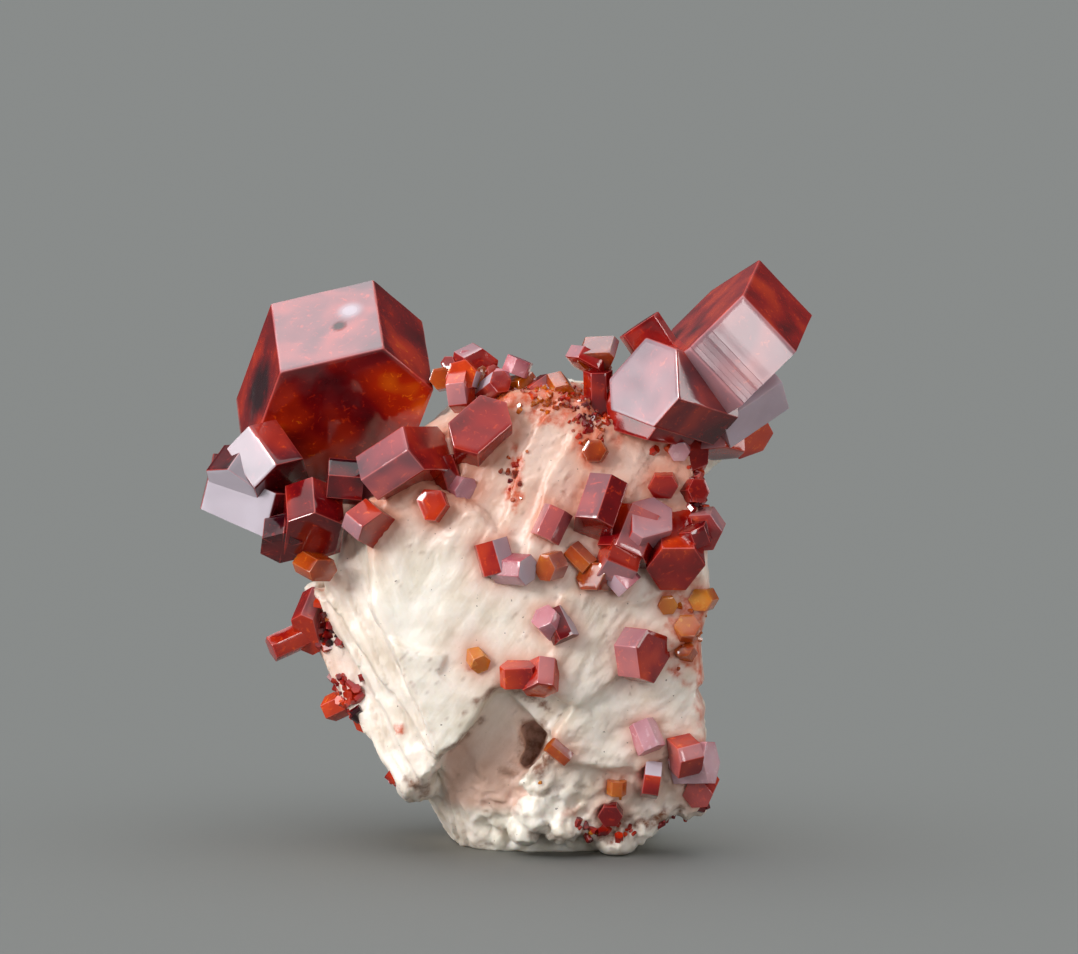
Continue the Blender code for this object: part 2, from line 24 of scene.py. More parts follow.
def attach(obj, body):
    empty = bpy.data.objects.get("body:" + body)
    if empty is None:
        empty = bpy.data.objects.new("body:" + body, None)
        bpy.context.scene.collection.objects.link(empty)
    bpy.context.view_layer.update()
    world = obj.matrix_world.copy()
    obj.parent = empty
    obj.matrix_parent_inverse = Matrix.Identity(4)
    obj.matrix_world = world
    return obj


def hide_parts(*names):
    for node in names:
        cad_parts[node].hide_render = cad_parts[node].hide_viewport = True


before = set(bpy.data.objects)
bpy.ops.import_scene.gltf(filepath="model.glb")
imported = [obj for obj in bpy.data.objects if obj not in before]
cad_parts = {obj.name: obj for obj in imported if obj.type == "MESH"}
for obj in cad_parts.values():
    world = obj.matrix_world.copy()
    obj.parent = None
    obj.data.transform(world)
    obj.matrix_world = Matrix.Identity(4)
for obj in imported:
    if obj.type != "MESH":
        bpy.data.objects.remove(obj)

MM = 0.001
MIDDLE = (0.14, 0.02)     # middle of the specimen's outline in the tables, the origin here
TIP = 6                   # number of the face at a crystal's tip, after its sides 0 to 5
SHARP = 32.0              # degrees between faces that meet in a crisp edge
SWELL = (2.0, 0.012)      # slow unevenness of the crystal faces: width and height
BEVEL = (0.035, 0.011, 0.16)    # worn edge: least width, growth with the crystal, most

# Widths of a crystal, each with the gap between mesh points on crystals above it.
MESH_STEPS = ((5.0, 0.24), (2.5, 0.34), (0.0, 0.5))

LOG = logging.getLogger("specimen")

Point3 = tuple[float, float, float]
Point2 = tuple[float, float]
Outline = tuple[Point2, ...]


class Tone(Enum):
    """The kinds of vanadinite on the specimen, by how deep their colour is."""

    MAROON = "maroon_vanadinite"
    RED = "red_vanadinite"
    ORANGE = "orange_vanadinite"
    PINK = "pink_vanadinite"


# --------------------------------------------------------------------------- helpers


def linear(code: str) -> tuple[float, float, float, float]:
    """Turn an sRGB hex value into linear colour.

    Args:
        code: six hex digits after a hash sign.

    Returns:
        Linear red, green, blue and an alpha of 1.
    """
    parts = [int(code[i : i + 2], 16) / 255 for i in (1, 3, 5)]
    flat = [p / 12.92 if p <= 0.04045 else ((p + 0.055) / 1.055) ** 2.4 for p in parts]
    return (flat[0], flat[1], flat[2], 1.0)


def add_node(
    tree: NodeTree,
    kind: str,
    settings: Optional[dict[str, Any]] = None,
    inputs: Optional[dict[Any, Any]] = None,
) -> Node:
    """Add a node, with its settings and what goes into its sockets.

    Args:
        tree: the tree that gets the node.
        kind: Blender's identifier of the node.
        settings: attributes of the node by name.
        inputs: values or output sockets, by the input's name or number.

    Returns:
        The new node.
    """
    node = tree.nodes.new(kind)
    for name, value in (settings or {}).items():
        setattr(node, name, value)
    for name, value in (inputs or {}).items():
        if isinstance(value, NodeSocket):
            tree.links.new(value, node.inputs[name])
        else:
            node.inputs[name].default_value = value
    return node


def noise_value(
    tree: NodeTree,
    place: NodeSocket,
    size: float,
    detail: float,
    roughness: float = 0.5,
    distortion: float = 0.0,
) -> NodeSocket:
    """Add noise of about 0 to 1.

    Args:
        tree: the tree that gets it.
        place: where each point of the surface is.
        size: width of one swell in millimetres.
        detail: how many finer swells are added.
        roughness: how strong each finer swell is.
        distortion: how far the swells are drawn about.

    Returns:
        The socket that gives the noise.
    """
    return add_node(
        tree, "ShaderNodeTexNoise", None,
        {"Vector": place, "Scale": 1 / (size * MM), "Detail": detail,
         "Roughness": roughness, "Distortion": distortion},
    ).outputs["Fac"]


def remap(
    tree: NodeTree,
    value: NodeSocket,
    low: float,
    high: float,
    start: float = 0.0,
    end: float = 1.0,
    eased: bool = False,
) -> NodeSocket:
    """Take low to start and high to end, and keep what lies beyond at those.

    Args:
        tree: the tree that gets the node.
        value: what is remapped.
        low: the value that becomes start.
        high: the value that becomes end.
        start: result at the low value.
        end: result at the high value.
        eased: whether the way between them is smooth instead of straight.

    Returns:
        The socket that gives the result.
    """
    settings = {"interpolation_type": "SMOOTHSTEP"} if eased else None
    inputs = {"Value": value, 1: low, 2: high, 3: start, 4: end}
    return add_node(tree, "ShaderNodeMapRange", settings, inputs).outputs[0]


def calculate(
    tree: NodeTree, operation: str, *values: Any, clamp: bool = False
) -> NodeSocket:
    """Add one step of arithmetic.

    Args:
        tree: the tree that gets the node.
        operation: Blender's name of the step.
        values: numbers or sockets, in order.
        clamp: whether the result is kept between 0 and 1.

    Returns:
        The socket that gives the result.
    """
    settings = {"operation": operation, "use_clamp": clamp}
    return add_node(tree, "ShaderNodeMath", settings, dict(enumerate(values))).outputs[0]


def overlay(tree: NodeTree, share: NodeSocket, under: NodeSocket, over: str) -> NodeSocket:
    """Lay a plain colour over another.

    Args:
        tree: the tree that gets the node.
        share: how much of the plain colour shows.
        under: the colour below it.
        over: the plain colour, as an sRGB hex value.

    Returns:
        The socket that gives the colour.
    """
    return add_node(
        tree, "ShaderNodeMix", {"data_type": "RGBA"}, {0: share, 6: under, 7: linear(over)}
    ).outputs[2]


def mingle(tree: NodeTree, share: Any, *values: Any) -> NodeSocket:
    """Add a mix of two numbers by a share of the second."""
    inputs = {0: share, 2: values[0], 3: values[1]}
    return add_node(tree, "ShaderNodeMix", {"data_type": "FLOAT"}, inputs).outputs[0]


def emboss(
    tree: NodeTree,
    height: NodeSocket,
    strength: float,
    depth: float,
    under: Optional[NodeSocket] = None,
) -> NodeSocket:
    """Add a bump.

    Args:
        tree: the tree that gets the node.
        height: the relief.
        strength: share of its effect.
        depth: how deep the relief is, in millimetres.
        under: the normal of a bump below it.

    Returns:
        The socket that gives the normal.
    """
    inputs = {"Strength": strength, "Distance": depth * MM, "Height": height}
    if under is not None:
        inputs["Normal"] = under
    return add_node(tree, "ShaderNodeBump", None, inputs).outputs[0]


def read_attribute(tree: NodeTree, name: str) -> NodeSocket:
    """A number that the mesh carries."""
    return add_node(tree, "ShaderNodeAttribute", {"attribute_name": name}).outputs["Fac"]


def empty_material(name: str) -> Material:
    """A material with nothing in its node tree yet."""
    material = bpy.data.materials.new(name)
    material.use_nodes = True
    material.node_tree.nodes.clear()
    return material


def shape_ramp(ramp: ColorRamp, stops: Sequence[tuple[float, str]]) -> None:
    """Give a colour ramp its stops.

    Args:
        ramp: the ramp to change.
        stops: place and sRGB hex colour of each stop, in order.
    """
    while len(ramp.elements) > 1:
        ramp.elements.remove(ramp.elements[-1])
    for i, (place, code) in enumerate(stops):
        stop = ramp.elements[0] if i == 0 else ramp.elements.new(place)
        stop.position = place
        stop.color = linear(code)


def to_frame(points: np.ndarray) -> np.ndarray:
    """Move table points in millimetres into the specimen's frame in metres."""
    return (points - np.array((MIDDLE[0], MIDDLE[1], 0.0))) * MM


def direction(bearing: float, rise: float) -> Vector:
    """Unit vector: bearing counter-clockwise from +X seen from above, rise above level."""
    b, r = math.radians(bearing), math.radians(rise)
    return Vector((math.cos(b) * math.cos(r), math.sin(b) * math.cos(r), math.sin(r)))


def new_object(name: str, data: ID) -> Object:
    """Link an object with this mesh, lamp or camera into the scene."""
    obj = bpy.data.objects.new(name, data)
    bpy.context.scene.collection.objects.link(obj)
    return obj


def finished_mesh(bm: bmesh.types.BMesh, name: str) -> Mesh:
    """Write an edited mesh out as a mesh of its own."""
    mesh = bpy.data.meshes.new(name)
    bm.to_mesh(mesh)
    bm.free()
    return mesh


def flatten(obj: Object) -> Mesh:
    """Evaluate an object's modifiers into a plain mesh.

    Args:
        obj: the object, which keeps its modifiers.

    Returns:
        The new mesh.
    """
    graph = bpy.context.evaluated_depsgraph_get()
    graph.update()
    return bpy.data.meshes.new_from_object(obj.evaluated_get(graph))


def remove_object(obj: Object) -> None:
    """Take an object and its mesh out of the file."""
    mesh = obj.data
    bpy.data.objects.remove(obj, do_unlink=True)
    if mesh.users == 0:
        bpy.data.meshes.remove(mesh)


def add_attribute(mesh: Mesh, name: str, values: np.ndarray) -> None:
    """Store one number for each corner point of a mesh."""
    layer = mesh.attributes.new(name, "FLOAT", "POINT")
    layer.data.foreach_set("value", np.asarray(values, np.float32))


def mesh_points(mesh: Mesh, what: str = "co") -> np.ndarray:
    """The places of a mesh's points, or their normals, one row for each."""
    flat = np.zeros(len(mesh.vertices) * 3, np.float32)
    mesh.vertices.foreach_get(what, flat)
    return flat.reshape(-1, 3).astype(float)


def soft_noise(points: np.ndarray, size: float, seed: float, octaves: int = 1) -> np.ndarray:
    """Smooth noise of about -1 to 1.

    Args:
        points: places in millimetres.
        size: width of one swell in millimetres.
        seed: moves the pattern.
        octaves: how many finer swells are added, each half as wide and high.

    Returns:
        One value for each point.
    """
    total = np.zeros(len(points))
    for octave in range(octaves):
        scaled = points * (2**octave / size) + (seed + 7.3 * octave)
        values = [noise.noise(Vector(p)) for p in scaled.tolist()]
        total += np.array(values) * 2.0 * 0.5**octave
    return total


def smooth(values: np.ndarray, low: float, high: float) -> np.ndarray:
    """Rise smoothly from 0 at low to 1 at high."""
    share = np.clip((values - low) / (high - low), 0.0, 1.0)
    return share * share * (3 - 2 * share)


def streaks(
    points: np.ndarray, way: Point3, long: float, wide: float, seed: float, octaves: int = 1
) -> np.ndarray:
    """Smooth noise of about -1 to 1, drawn out along one direction.

    Args:
        points: places in millimetres.
        way: the direction of the streaks.
        long: length of a streak in millimetres.
        wide: width of a streak in millimetres.
        seed: moves the pattern.
        octaves: how many finer streaks are added.

    Returns:
        One value for each point.
    """
    unit = np.array(way) / np.linalg.norm(way)
    along = (points @ unit)[:, None] * unit
    return soft_noise(along * (wide / long) + (points - along), wide, seed, octaves)


def ledges(values: np.ndarray) -> np.ndarray:
    """Turn slopes into level treads with short risers, about their mean."""
    tread = np.floor(values)
    return tread + smooth(values - tread, 0.36, 0.64) - values


# ------------------------------------------------------------------------- finishes


@dataclass(frozen=True)
class VanadiniteFinish:
    """Vanadinite, grown as glassy prisms: adamantine faces over a deep red body.

    The high refractive index gives each flat face a bright, cool reflection, while the
    body colour under it runs from near black to orange: partly its own zoned colour, partly
    painted inner light where light would come back out of it.
    """

    name: str
    deep: str
    body: str
    lively: str
    bright: str
    frost_and_sheen: str = "#b9aeb8"      # thin etched bloom, and a painted lilac sheen of reflected light
    frost_curve: float = 1.5    # power that keeps a weak bloom and its painted sheen thin
    frost_roughness: float = 0.34
    edge: str = "#e06058"       # painted highlight along the edges rounded by wear
    edge_highlight_share: float = 0.5
    roughness: float = 0.09
    ior: float = 1.72
    transmission: float = 0.0
    absorbed: str = "#e05010"
    absorption: float = 0.0     # 1/m
    scatter: float = 0.0
    zone_mm: float = 3.4        # width of the colour zones inside a crystal
    zone_glow: Point2 = (1.1, -0.63)  # how far the colour zones change the painted inner light: times, plus
    flaw_mm: float = 0.45       # width of the inner flaws, painted as flecks of inner light
    flaw_glow: float = 0.26     # most that a flaw adds to the painted inner light
    etch_mm: float = 0.35       # width of the faint etching on the faces
    etch_depth: float = 0.04    # mm
    spread_mm: Point3 = (1.2, 0.35, 0.12)  # how far red, green and blue spread inside

    def make(self) -> Material:
        """Build the material.

        Returns:
            The material, reading the mesh's attributes of painted inner light, of frosting with
            painted sheen and of where the painted edge highlight goes.
        """
        material = empty_material(self.name)
        tree = material.node_tree
        place = add_node(tree, "ShaderNodeTexCoord").outputs["Object"]
        # Body colour from the glow attribute, the colour zones and the flaws: the orange is
        # partly painted inner light, not light rendered through the crystal.
        zones = noise_value(tree, place, self.zone_mm, 1.5, distortion=0.4)
        flaws = noise_value(tree, place, self.flaw_mm, 2.0, 0.6, 0.6)
        lift = calculate(tree, "MULTIPLY_ADD", zones, *self.zone_glow)
        flecks = remap(tree, flaws, 0.56, 0.76, 0.0, self.flaw_glow, eased=True)
        inner = calculate(tree, "ADD", lift, flecks)
        level = calculate(tree, "ADD", read_attribute(tree, "glow"), inner, clamp=True)
        colour = add_node(tree, "ShaderNodeValToRGB", None, {"Fac": level})
        shape_ramp(
            colour.color_ramp,
            ((0.0, self.deep), (0.34, self.body), (0.66, self.lively), (1.0, self.bright)),
        )
        # Painted highlight along the rounded edges, laid over the body colour.
        worn_edge_and_highlight = calculate(tree, "MULTIPLY", read_attribute(tree, "edge"), self.edge_highlight_share)
        edged = overlay(tree, worn_edge_and_highlight, colour.outputs["Color"], self.edge)
        patchy = remap(tree, zones, 0.30, 0.60, 0.85, 1.0)
        # Lilac frosting over the colour: real etching with more roughness, and a painted sheen
        # of reflected light.
        thick = calculate(tree, "POWER", read_attribute(tree, "frost_and_sheen"), self.frost_curve)
        bloom_and_sheen = calculate(tree, "MULTIPLY", thick, patchy, clamp=True)
        frost_and_sheen_colour = overlay(tree, bloom_and_sheen, edged, self.frost_and_sheen)
        rough = remap(tree, bloom_and_sheen, 0.0, 1.0, self.roughness, self.frost_roughness)
        grain = noise_value(tree, place, self.etch_mm, 4.0, 0.6)
        bump = emboss(tree, grain, 0.10, self.etch_depth)
        shader = add_node(
            tree, "ShaderNodeBsdfPrincipled", {"subsurface_method": "RANDOM_WALK"},
            {
                "Base Color": frost_and_sheen_colour,
                "Roughness": rough,
                "IOR": self.ior,
                "Transmission Weight": self.transmission,
                "Subsurface Weight": self.scatter,
                "Subsurface Radius": self.spread_mm,
                "Subsurface Scale": MM,
                "Normal": bump,
            },
        )
        output = add_node(
            tree, "ShaderNodeOutputMaterial", None, {"Surface": shader.outputs[0]}
        )
        if self.absorption > 0.0:
            soak = add_node(
                tree, "ShaderNodeVolumeAbsorption", None,
                {"Color": linear(self.absorbed), "Density": self.absorption},
            )
            tree.links.new(soak.outputs[0], output.inputs["Volume"])
        return material


@dataclass(frozen=True)
class BariteFinish:
    """Barite, grown as bladed masses and broken: waxy cream with a soft inner light.

    The cleaved surface is satin, not glossy, and light spreads about a millimetre into
    it, so that its edges stay soft. The red light that the crystals throw onto what lies
    around them is painted into its colour, together with thin red films.
    """

    name: str = "barite_cleaved_cream"
    pale: str = "#f3ece0"
    shade: str = "#dad0be"
    warm: str = "#d08f76"       # painted light thrown back by the crystals, and thin red films
    brown: str = "#74401e"      # iron stain in the hollow and along broken edges
    rust: str = "#c04a0e"       # brighter iron stain by the orange crystals
    speck: str = "#4a3026"
    roughness: float = 0.42
    ior: float = 1.64
    scatter: float = 0.22
    blade_mm: Point3 = (1.3, 2.6, 7.0)  # fine cleavage steps: across, deep, along
    blade_leans: Point2 = (-23.0, 34.0)  # degrees: on the left flank, and on the rest
    flank_limit: Point2 = (-8.5, -5.5)   # x in mm, from the one to the other
    blade_depth: float = 0.30   # mm
    grain_depth: float = 0.12   # mm
    cloud_mm: float = 5.0
    grain_mm: float = 0.6
    speck_mm: float = 0.28
    spread_mm: Point3 = (1.3, 0.9, 0.6)  # how far red, green and blue spread inside

    def make(self) -> Material:
        """Build the material.

        Returns:
            The material, reading the mesh's warmth (partly painted crystal light), brown and
            rust attributes.
        """
        material = empty_material(self.name)
        tree = material.node_tree
        place = add_node(tree, "ShaderNodeTexCoord").outputs["Object"]
        cloud = noise_value(tree, place, self.cloud_mm, 4.0, 0.6, 0.5)
        grain = noise_value(tree, place, self.grain_mm, 4.0, 0.65)
        sides = []
        for lean in self.blade_leans:
            along = add_node(
                tree, "ShaderNodeMapping", {"vector_type": "TEXTURE"},
                {"Vector": place, "Rotation": (0.0, math.radians(lean), 0.0),
                 "Scale": tuple(side * MM for side in self.blade_mm)},
            ).outputs[0]
            sides.append(add_node(
                tree, "ShaderNodeTexNoise", None,
                {"Vector": along, "Scale": 1.0, "Detail": 3.0, "Roughness": 0.6},
            ).outputs["Fac"])
        across = add_node(tree, "ShaderNodeSeparateXYZ", None, {0: place}).outputs["X"]
        low, high = self.flank_limit
        inward = remap(tree, across, low * MM, high * MM, eased=True)
        blades = mingle(tree, inward, *sides)
        mottled = mingle(tree, 0.5, cloud, blades)
        base = add_node(tree, "ShaderNodeValToRGB", None, {"Fac": mottled})
        shape_ramp(base.color_ramp, ((0.40, self.shade), (0.56, self.pale)))
        spread = remap(tree, grain, 0.38, 0.60, 0.45, 1.0)
        # Warmth: painted light thrown back by the crystals with their thin red films, and the
        # pink tone of the upper front, the flank and the hollow.
        colour = overlay(
            tree, read_attribute(tree, "warmth"), base.outputs["Color"], self.warm
        )
        for name, tint in (("brown", self.brown), ("rust", self.rust)):
            share = calculate(
                tree, "MULTIPLY", read_attribute(tree, name), spread, clamp=True
            )
            colour = overlay(tree, share, colour, tint)
        dots = noise_value(tree, place, self.speck_mm, 1.0)
        stained = overlay(tree, remap(tree, dots, 0.76, 0.80, 0.0, 0.8), colour, self.speck)
        grained = emboss(tree, grain, 0.5, self.grain_depth)
        bump = emboss(tree, blades, 0.3, self.blade_depth, grained)
        shader = add_node(
            tree, "ShaderNodeBsdfPrincipled", {"subsurface_method": "RANDOM_WALK"},
            {
                "Base Color": stained,
                "Roughness": self.roughness,
                "IOR": self.ior,
                "Subsurface Weight": self.scatter,
                "Subsurface Radius": self.spread_mm,
                "Subsurface Scale": MM,
                "Normal": bump,
            },
        )
        add_node(tree, "ShaderNodeOutputMaterial", None, {"Surface": shader.outputs[0]})
        return material


@dataclass(frozen=True)
class FloorFinish:
    """Matt painted board under the specimen."""

    name: str = "studio_board_matt"
    colour: str = "#a2a4a1"
    roughness: float = 0.9

    def make(self) -> Material:
        """Build the material of the floor."""
        material = bpy.data.materials.new(self.name)
        material.use_nodes = True
        shader = material.node_tree.nodes["Principled BSDF"]
        shader.inputs["Base Color"].default_value = linear(self.colour)
        shader.inputs["Roughness"].default_value = self.roughness
        return material


# Palettes deep, body, lively and bright: body colour from dark to orange, the orange end partly
# painted inner light; edge: a painted highlight along the edges.
VANADINITE = {
    Tone.MAROON: VanadiniteFinish(
        "vanadinite_maroon", "#28020a", "#740a0e", "#b82c0c", "#f07812",
    ),
    Tone.RED: VanadiniteFinish(
        "vanadinite_red", "#3e040a", "#92120e", "#c83c10", "#f28424", roughness=0.11,
    ),
    Tone.ORANGE: VanadiniteFinish(
        "vanadinite_orange", "#8c2406", "#cc540c", "#ec8818", "#fabc50", edge="#f0a068",
        roughness=0.14, transmission=0.4, absorbed="#f09030", absorption=120.0,
        scatter=0.25, ior=1.9,
    ),
    Tone.PINK: VanadiniteFinish(
        "vanadinite_pink", "#64141c", "#a04c58", "#c47c84", "#e0b0b4", edge="#d88c90",
        roughness=0.16, scatter=0.1,
    ),
}


# ------------------------------------------------------------------------- crystals


@dataclass
class Patch:
    """Points and faces of part of a mesh, with what each point carries."""

    points: np.ndarray
    faces: list[tuple[int, ...]]
    glow: np.ndarray
    frost_and_sheen: np.ndarray
    edge: np.ndarray
    slot: int = 0


@dataclass(frozen=True)
class Crystal:
    """A six-sided prism: middle of its tip face, bearing and rise of its axis, its sizes.

    A face with frosting is its number and how strong that frosting is: real etching, and
    also a painted lilac sheen of reflected light. The sides are shares of half the width,
    by which each stands off the axis. Ridges are steps that run along the crystal: the
    side, where they start and end on it, their pitch and their depth.
    """

    tone: Tone
    tip: Point3
    way: Point2
    turn: float
    width: float
    length: float
    # glow: place of the body colour from dark to orange, partly painted inner light
    glow: float = 0.4
    frost_and_sheen: tuple[tuple[int, float], ...] = ()
    sides: tuple[float, ...] = (1.0,) * 6
    ridges: tuple[tuple[int, float, float, float, float], ...] = ()

    def axes(self) -> tuple[Vector, Vector, Vector]:
        """The two directions across the crystal and the one along it."""
        axis = direction(*self.way)
        bearing = math.radians(self.way[0])
        level = Vector((-math.sin(bearing), math.cos(bearing), 0.0))
        upward = axis.cross(level)
        t = math.radians(self.turn)
        across = level * math.cos(t) + upward * math.sin(t)
        return across, axis.cross(across), axis

    def corner(self, k: int) -> np.ndarray:
        """Where side k - 1 and side k meet, in the plane across the axis."""
        rows = []
        for side in ((k - 1) % 6, k % 6):
            angle = math.radians(60 * side + 30)
            rows.append((math.cos(angle), math.sin(angle), self.sides[side] * self.width / 2))
        (a, b, p), (c, d, q) = rows
        span = a * d - b * c
        return np.array(((p * d - q * b) / span, (a * q - c * p) / span))

    def bevel(self) -> float:
        """How wide the edges rounded by wear are."""
        least, growth, most = BEVEL
        return min(most, least + growth * self.width)

    def outline(self, step: float) -> tuple[np.ndarray, np.ndarray, np.ndarray]:
        """The line round the crystal, across its axis.

        Args:
            step: the widest gap between points along a side.

        Returns:
            The points, the side that each is on and how much it is on an edge.
        """
        worn_edge_and_highlight = self.bevel()
        ridged = {row[0]: row[1:] for row in self.ridges}
        points, sides, edges = [], [], []
        for k in range(6):
            start, end = self.corner(k), self.corner(k + 1)
            span = float(np.linalg.norm(end - start))
            along = (end - start) / span
            outward = np.array((along[1], -along[0]))
            low, high = min(worn_edge_and_highlight, 0.3 * span), span - min(worn_edge_and_highlight, 0.3 * span)
            count = max(1, round((high - low) / step))
            stops = [(low + (high - low) * i / count, 0.0) for i in range(count + 1)]
            if k in ridged:
                stops = self.stepped(stops, span, *ridged[k])
            for reach, depth in stops:
                points.append(start + along * reach - outward * depth)
                sides.append(k)
                edges.append(0.0)
            # The corner itself, pulled in so that the edge is rounded.
            after = self.corner(k + 2) - end
            after = after / np.linalg.norm(after)
            pulled = 0.5 * end + 0.25 * (end - along * worn_edge_and_highlight) + 0.25 * (end + after * worn_edge_and_highlight)
            points.append(pulled)
            sides.append(k)
            edges.append(1.0)
        return np.array(points), np.array(sides), np.array(edges)

    @staticmethod
    def stepped(
        stops: list[tuple[float, float]],
        span: float,
        start: float,
        end: float,
        pitch: float,
        depth: float,
    ) -> list[tuple[float, float]]:
        """Cut steps into the stops along a side.

        Args:
            stops: distance along the side and depth of each stop.
            span: length of the side.
            start: share of the side where the steps begin.
            end: share of the side where they end.
            pitch: mean width of a step.
            depth: how deep the deepest step is.

        Returns:
            The stops with those of the steps, in order.
        """
        low, high = start * span, end * span
        kept = [s for s in stops if not low <= s[0] <= high]
        rng = random.Random(5)
        place, cut = low, []
        while place < high - pitch:
            wide = pitch * rng.uniform(0.5, 1.5)
            deep = depth * rng.uniform(0.2, 1.0)
            cut += [(place, deep), (min(high, place + wide * 0.92), deep * 0.8)]
            place += wide
        return sorted(kept + cut)

    def build(self, step: float, spots: Sequence["Spot"], slot: int) -> Patch:
        """Mesh of the crystal.

        Args:
            step: the widest gap between points.
            spots: places that change the painted inner light or the frosting with painted
                sheen.
            slot: the material slot of its faces.

        Returns:
            Its points and faces.
        """
        across, upward, axis = self.axes()
        line, sides, edges = self.outline(step)
        worn_edge_and_highlight, reach = self.bevel(), self.width / 2
        flat_share = 1.0 - worn_edge_and_highlight / reach
        rows = [(-self.length, 0.0, 0.0), (-self.length, 1.0, 0.0)]
        count = max(2, round(self.length / step))
        for i in range(1, count):
            rows.append((-self.length + (self.length - worn_edge_and_highlight) * i / count, 1.0, 0.0))
        rows.append((-worn_edge_and_highlight, 1.0, 0.0))
        rows.append((-0.29 * worn_edge_and_highlight, 1.0 - 0.29 * worn_edge_and_highlight / reach, 1.0))
        inner = max(2, round(reach / step))
        rows += [(0.0, flat_share * (1 - i / inner), 0.0) for i in range(inner + 1)]
        wide = len(line)
        points, frost_and_sheen_rows, edge = [], [], []
        bloom_and_sheen = dict(self.frost_and_sheen)
        side_bloom_and_sheen = np.array([bloom_and_sheen.get(int(s), 0.0) for s in sides])
        for height, share, ring_edge in rows:
            flat = line * share if share else np.zeros((1, 2))
            ring = (
                np.array(self.tip)
                + flat[:, :1] * np.array(across)
                + flat[:, 1:] * np.array(upward)
                + height * np.array(axis)
            )
            points.append(ring)
            on_tip = height == 0.0
            ring_bloom_and_sheen = np.full(wide, bloom_and_sheen.get(TIP, 0.0)) if on_tip else side_bloom_and_sheen
            frost_and_sheen_rows.append(ring_bloom_and_sheen[: len(ring)])
            line_edge = np.zeros(wide) if on_tip else edges
            edge.append(np.maximum(line_edge, ring_edge)[: len(ring)])
        faces: list[tuple[int, ...]] = []
        base = 1
        for i in range(1, len(rows) - 2):
            for j in range(wide):
                k = (j + 1) % wide
                faces.append((base + j, base + k, base + wide + k, base + wide + j))
            base += wide
        for j in range(wide):
            k = (j + 1) % wide
            faces.append((0, 1 + k, 1 + j))
            faces.append((base + j, base + k, base + wide))
        place = np.concatenate(points)
        glow = np.full(len(place), self.glow)
        frost_and_sheen = np.concatenate(frost_and_sheen_rows)
        for spot in spots:
            glow, frost_and_sheen = spot.apply(place, glow, frost_and_sheen)
        return Patch(place, faces, glow, frost_and_sheen, np.concatenate(edge), slot)


@dataclass(frozen=True)
class Spot:
    """A place where a crystal's painted inner light or frosting with painted sheen differs from
    the rest.
    """

    centre: Point3
    radius: float
    glow: float = 0.0
    frost_and_sheen: float = 0.0
    full: float = 2 / 7     # share of the radius that it changes in full

    def apply(
        self, place: np.ndarray, glow: np.ndarray, frost_and_sheen: np.ndarray
    ) -> tuple[np.ndarray, np.ndarray]:
        """Change the painted inner light and the frosting with its painted sheen near the spot.
        """
        gap = np.linalg.norm(place - np.array(self.centre), axis=1) / self.radius
        share = 1 - smooth(gap, self.full, 1.0)
        return glow + self.glow * share, np.clip(frost_and_sheen + self.frost_and_sheen * share, 0.0, 1.0)


@dataclass(frozen=True)
class CrystalPiece:
    """The crystals that grew together in one node."""

    node: str
    slot: Tone
    crystals: tuple[Crystal, ...]
    spots: tuple[Spot, ...] = ()

    def build(self, looks: dict[Tone, Material]) -> Object:
        """Make the piece that stands for its node.

        Args:
            looks: the material of each kind of vanadinite.

        Returns:
            The finished piece, riding on the root body.
        """
        tones = sorted({c.tone for c in self.crystals}, key=lambda t: t.value)
        patches = []
        for crystal in self.crystals:
            step = next(step for width, step in MESH_STEPS if crystal.width > width)
            patches.append(crystal.build(step, self.spots, tones.index(crystal.tone)))
        points = np.concatenate([p.points for p in patches])
        mesh = bpy.data.meshes.new(f"{self.node}_crystals")
        faces: list[tuple[int, ...]] = []
        slots: list[int] = []
        offset = 0
        for patch in patches:
            faces += [tuple(offset + i for i in face) for face in patch.faces]
            slots += [patch.slot] * len(patch.faces)
            offset += len(patch.points)
        wave = soft_noise(points, SWELL[0], 3.1) * SWELL[1]
        middle = np.concatenate(
            [np.repeat(p.points.mean(0, keepdims=True), len(p.points), 0) for p in patches]
        )
        away = points - middle
        away /= np.linalg.norm(away, axis=1, keepdims=True) + 1e-9
        mesh.from_pydata(to_frame(points + away * wave[:, None]).tolist(), [], faces)
        mesh.polygons.foreach_set("material_index", slots)
        mesh.polygons.foreach_set("use_smooth", [True] * len(faces))
        for name in ("glow", "frost_and_sheen", "edge"):
            add_attribute(mesh, name, np.concatenate([getattr(p, name) for p in patches]))
        mesh.set_sharp_from_angle(angle=math.radians(SHARP))
        mesh.update()
        for tone in tones:
            mesh.materials.append(looks[tone])
        obj = new_object(f"{self.node}_crystals", mesh)
        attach(obj, "root")
        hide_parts(self.node)
        return obj


def lone(node: str, tone: Tone, *measures: Any) -> CrystalPiece:
    """A node that is one crystal, with the measures of a Crystal after its tone."""
    return CrystalPiece(node, tone, (Crystal(tone, *measures),))


M, R, O, K = Tone.MAROON, Tone.RED, Tone.ORANGE, Tone.PINK
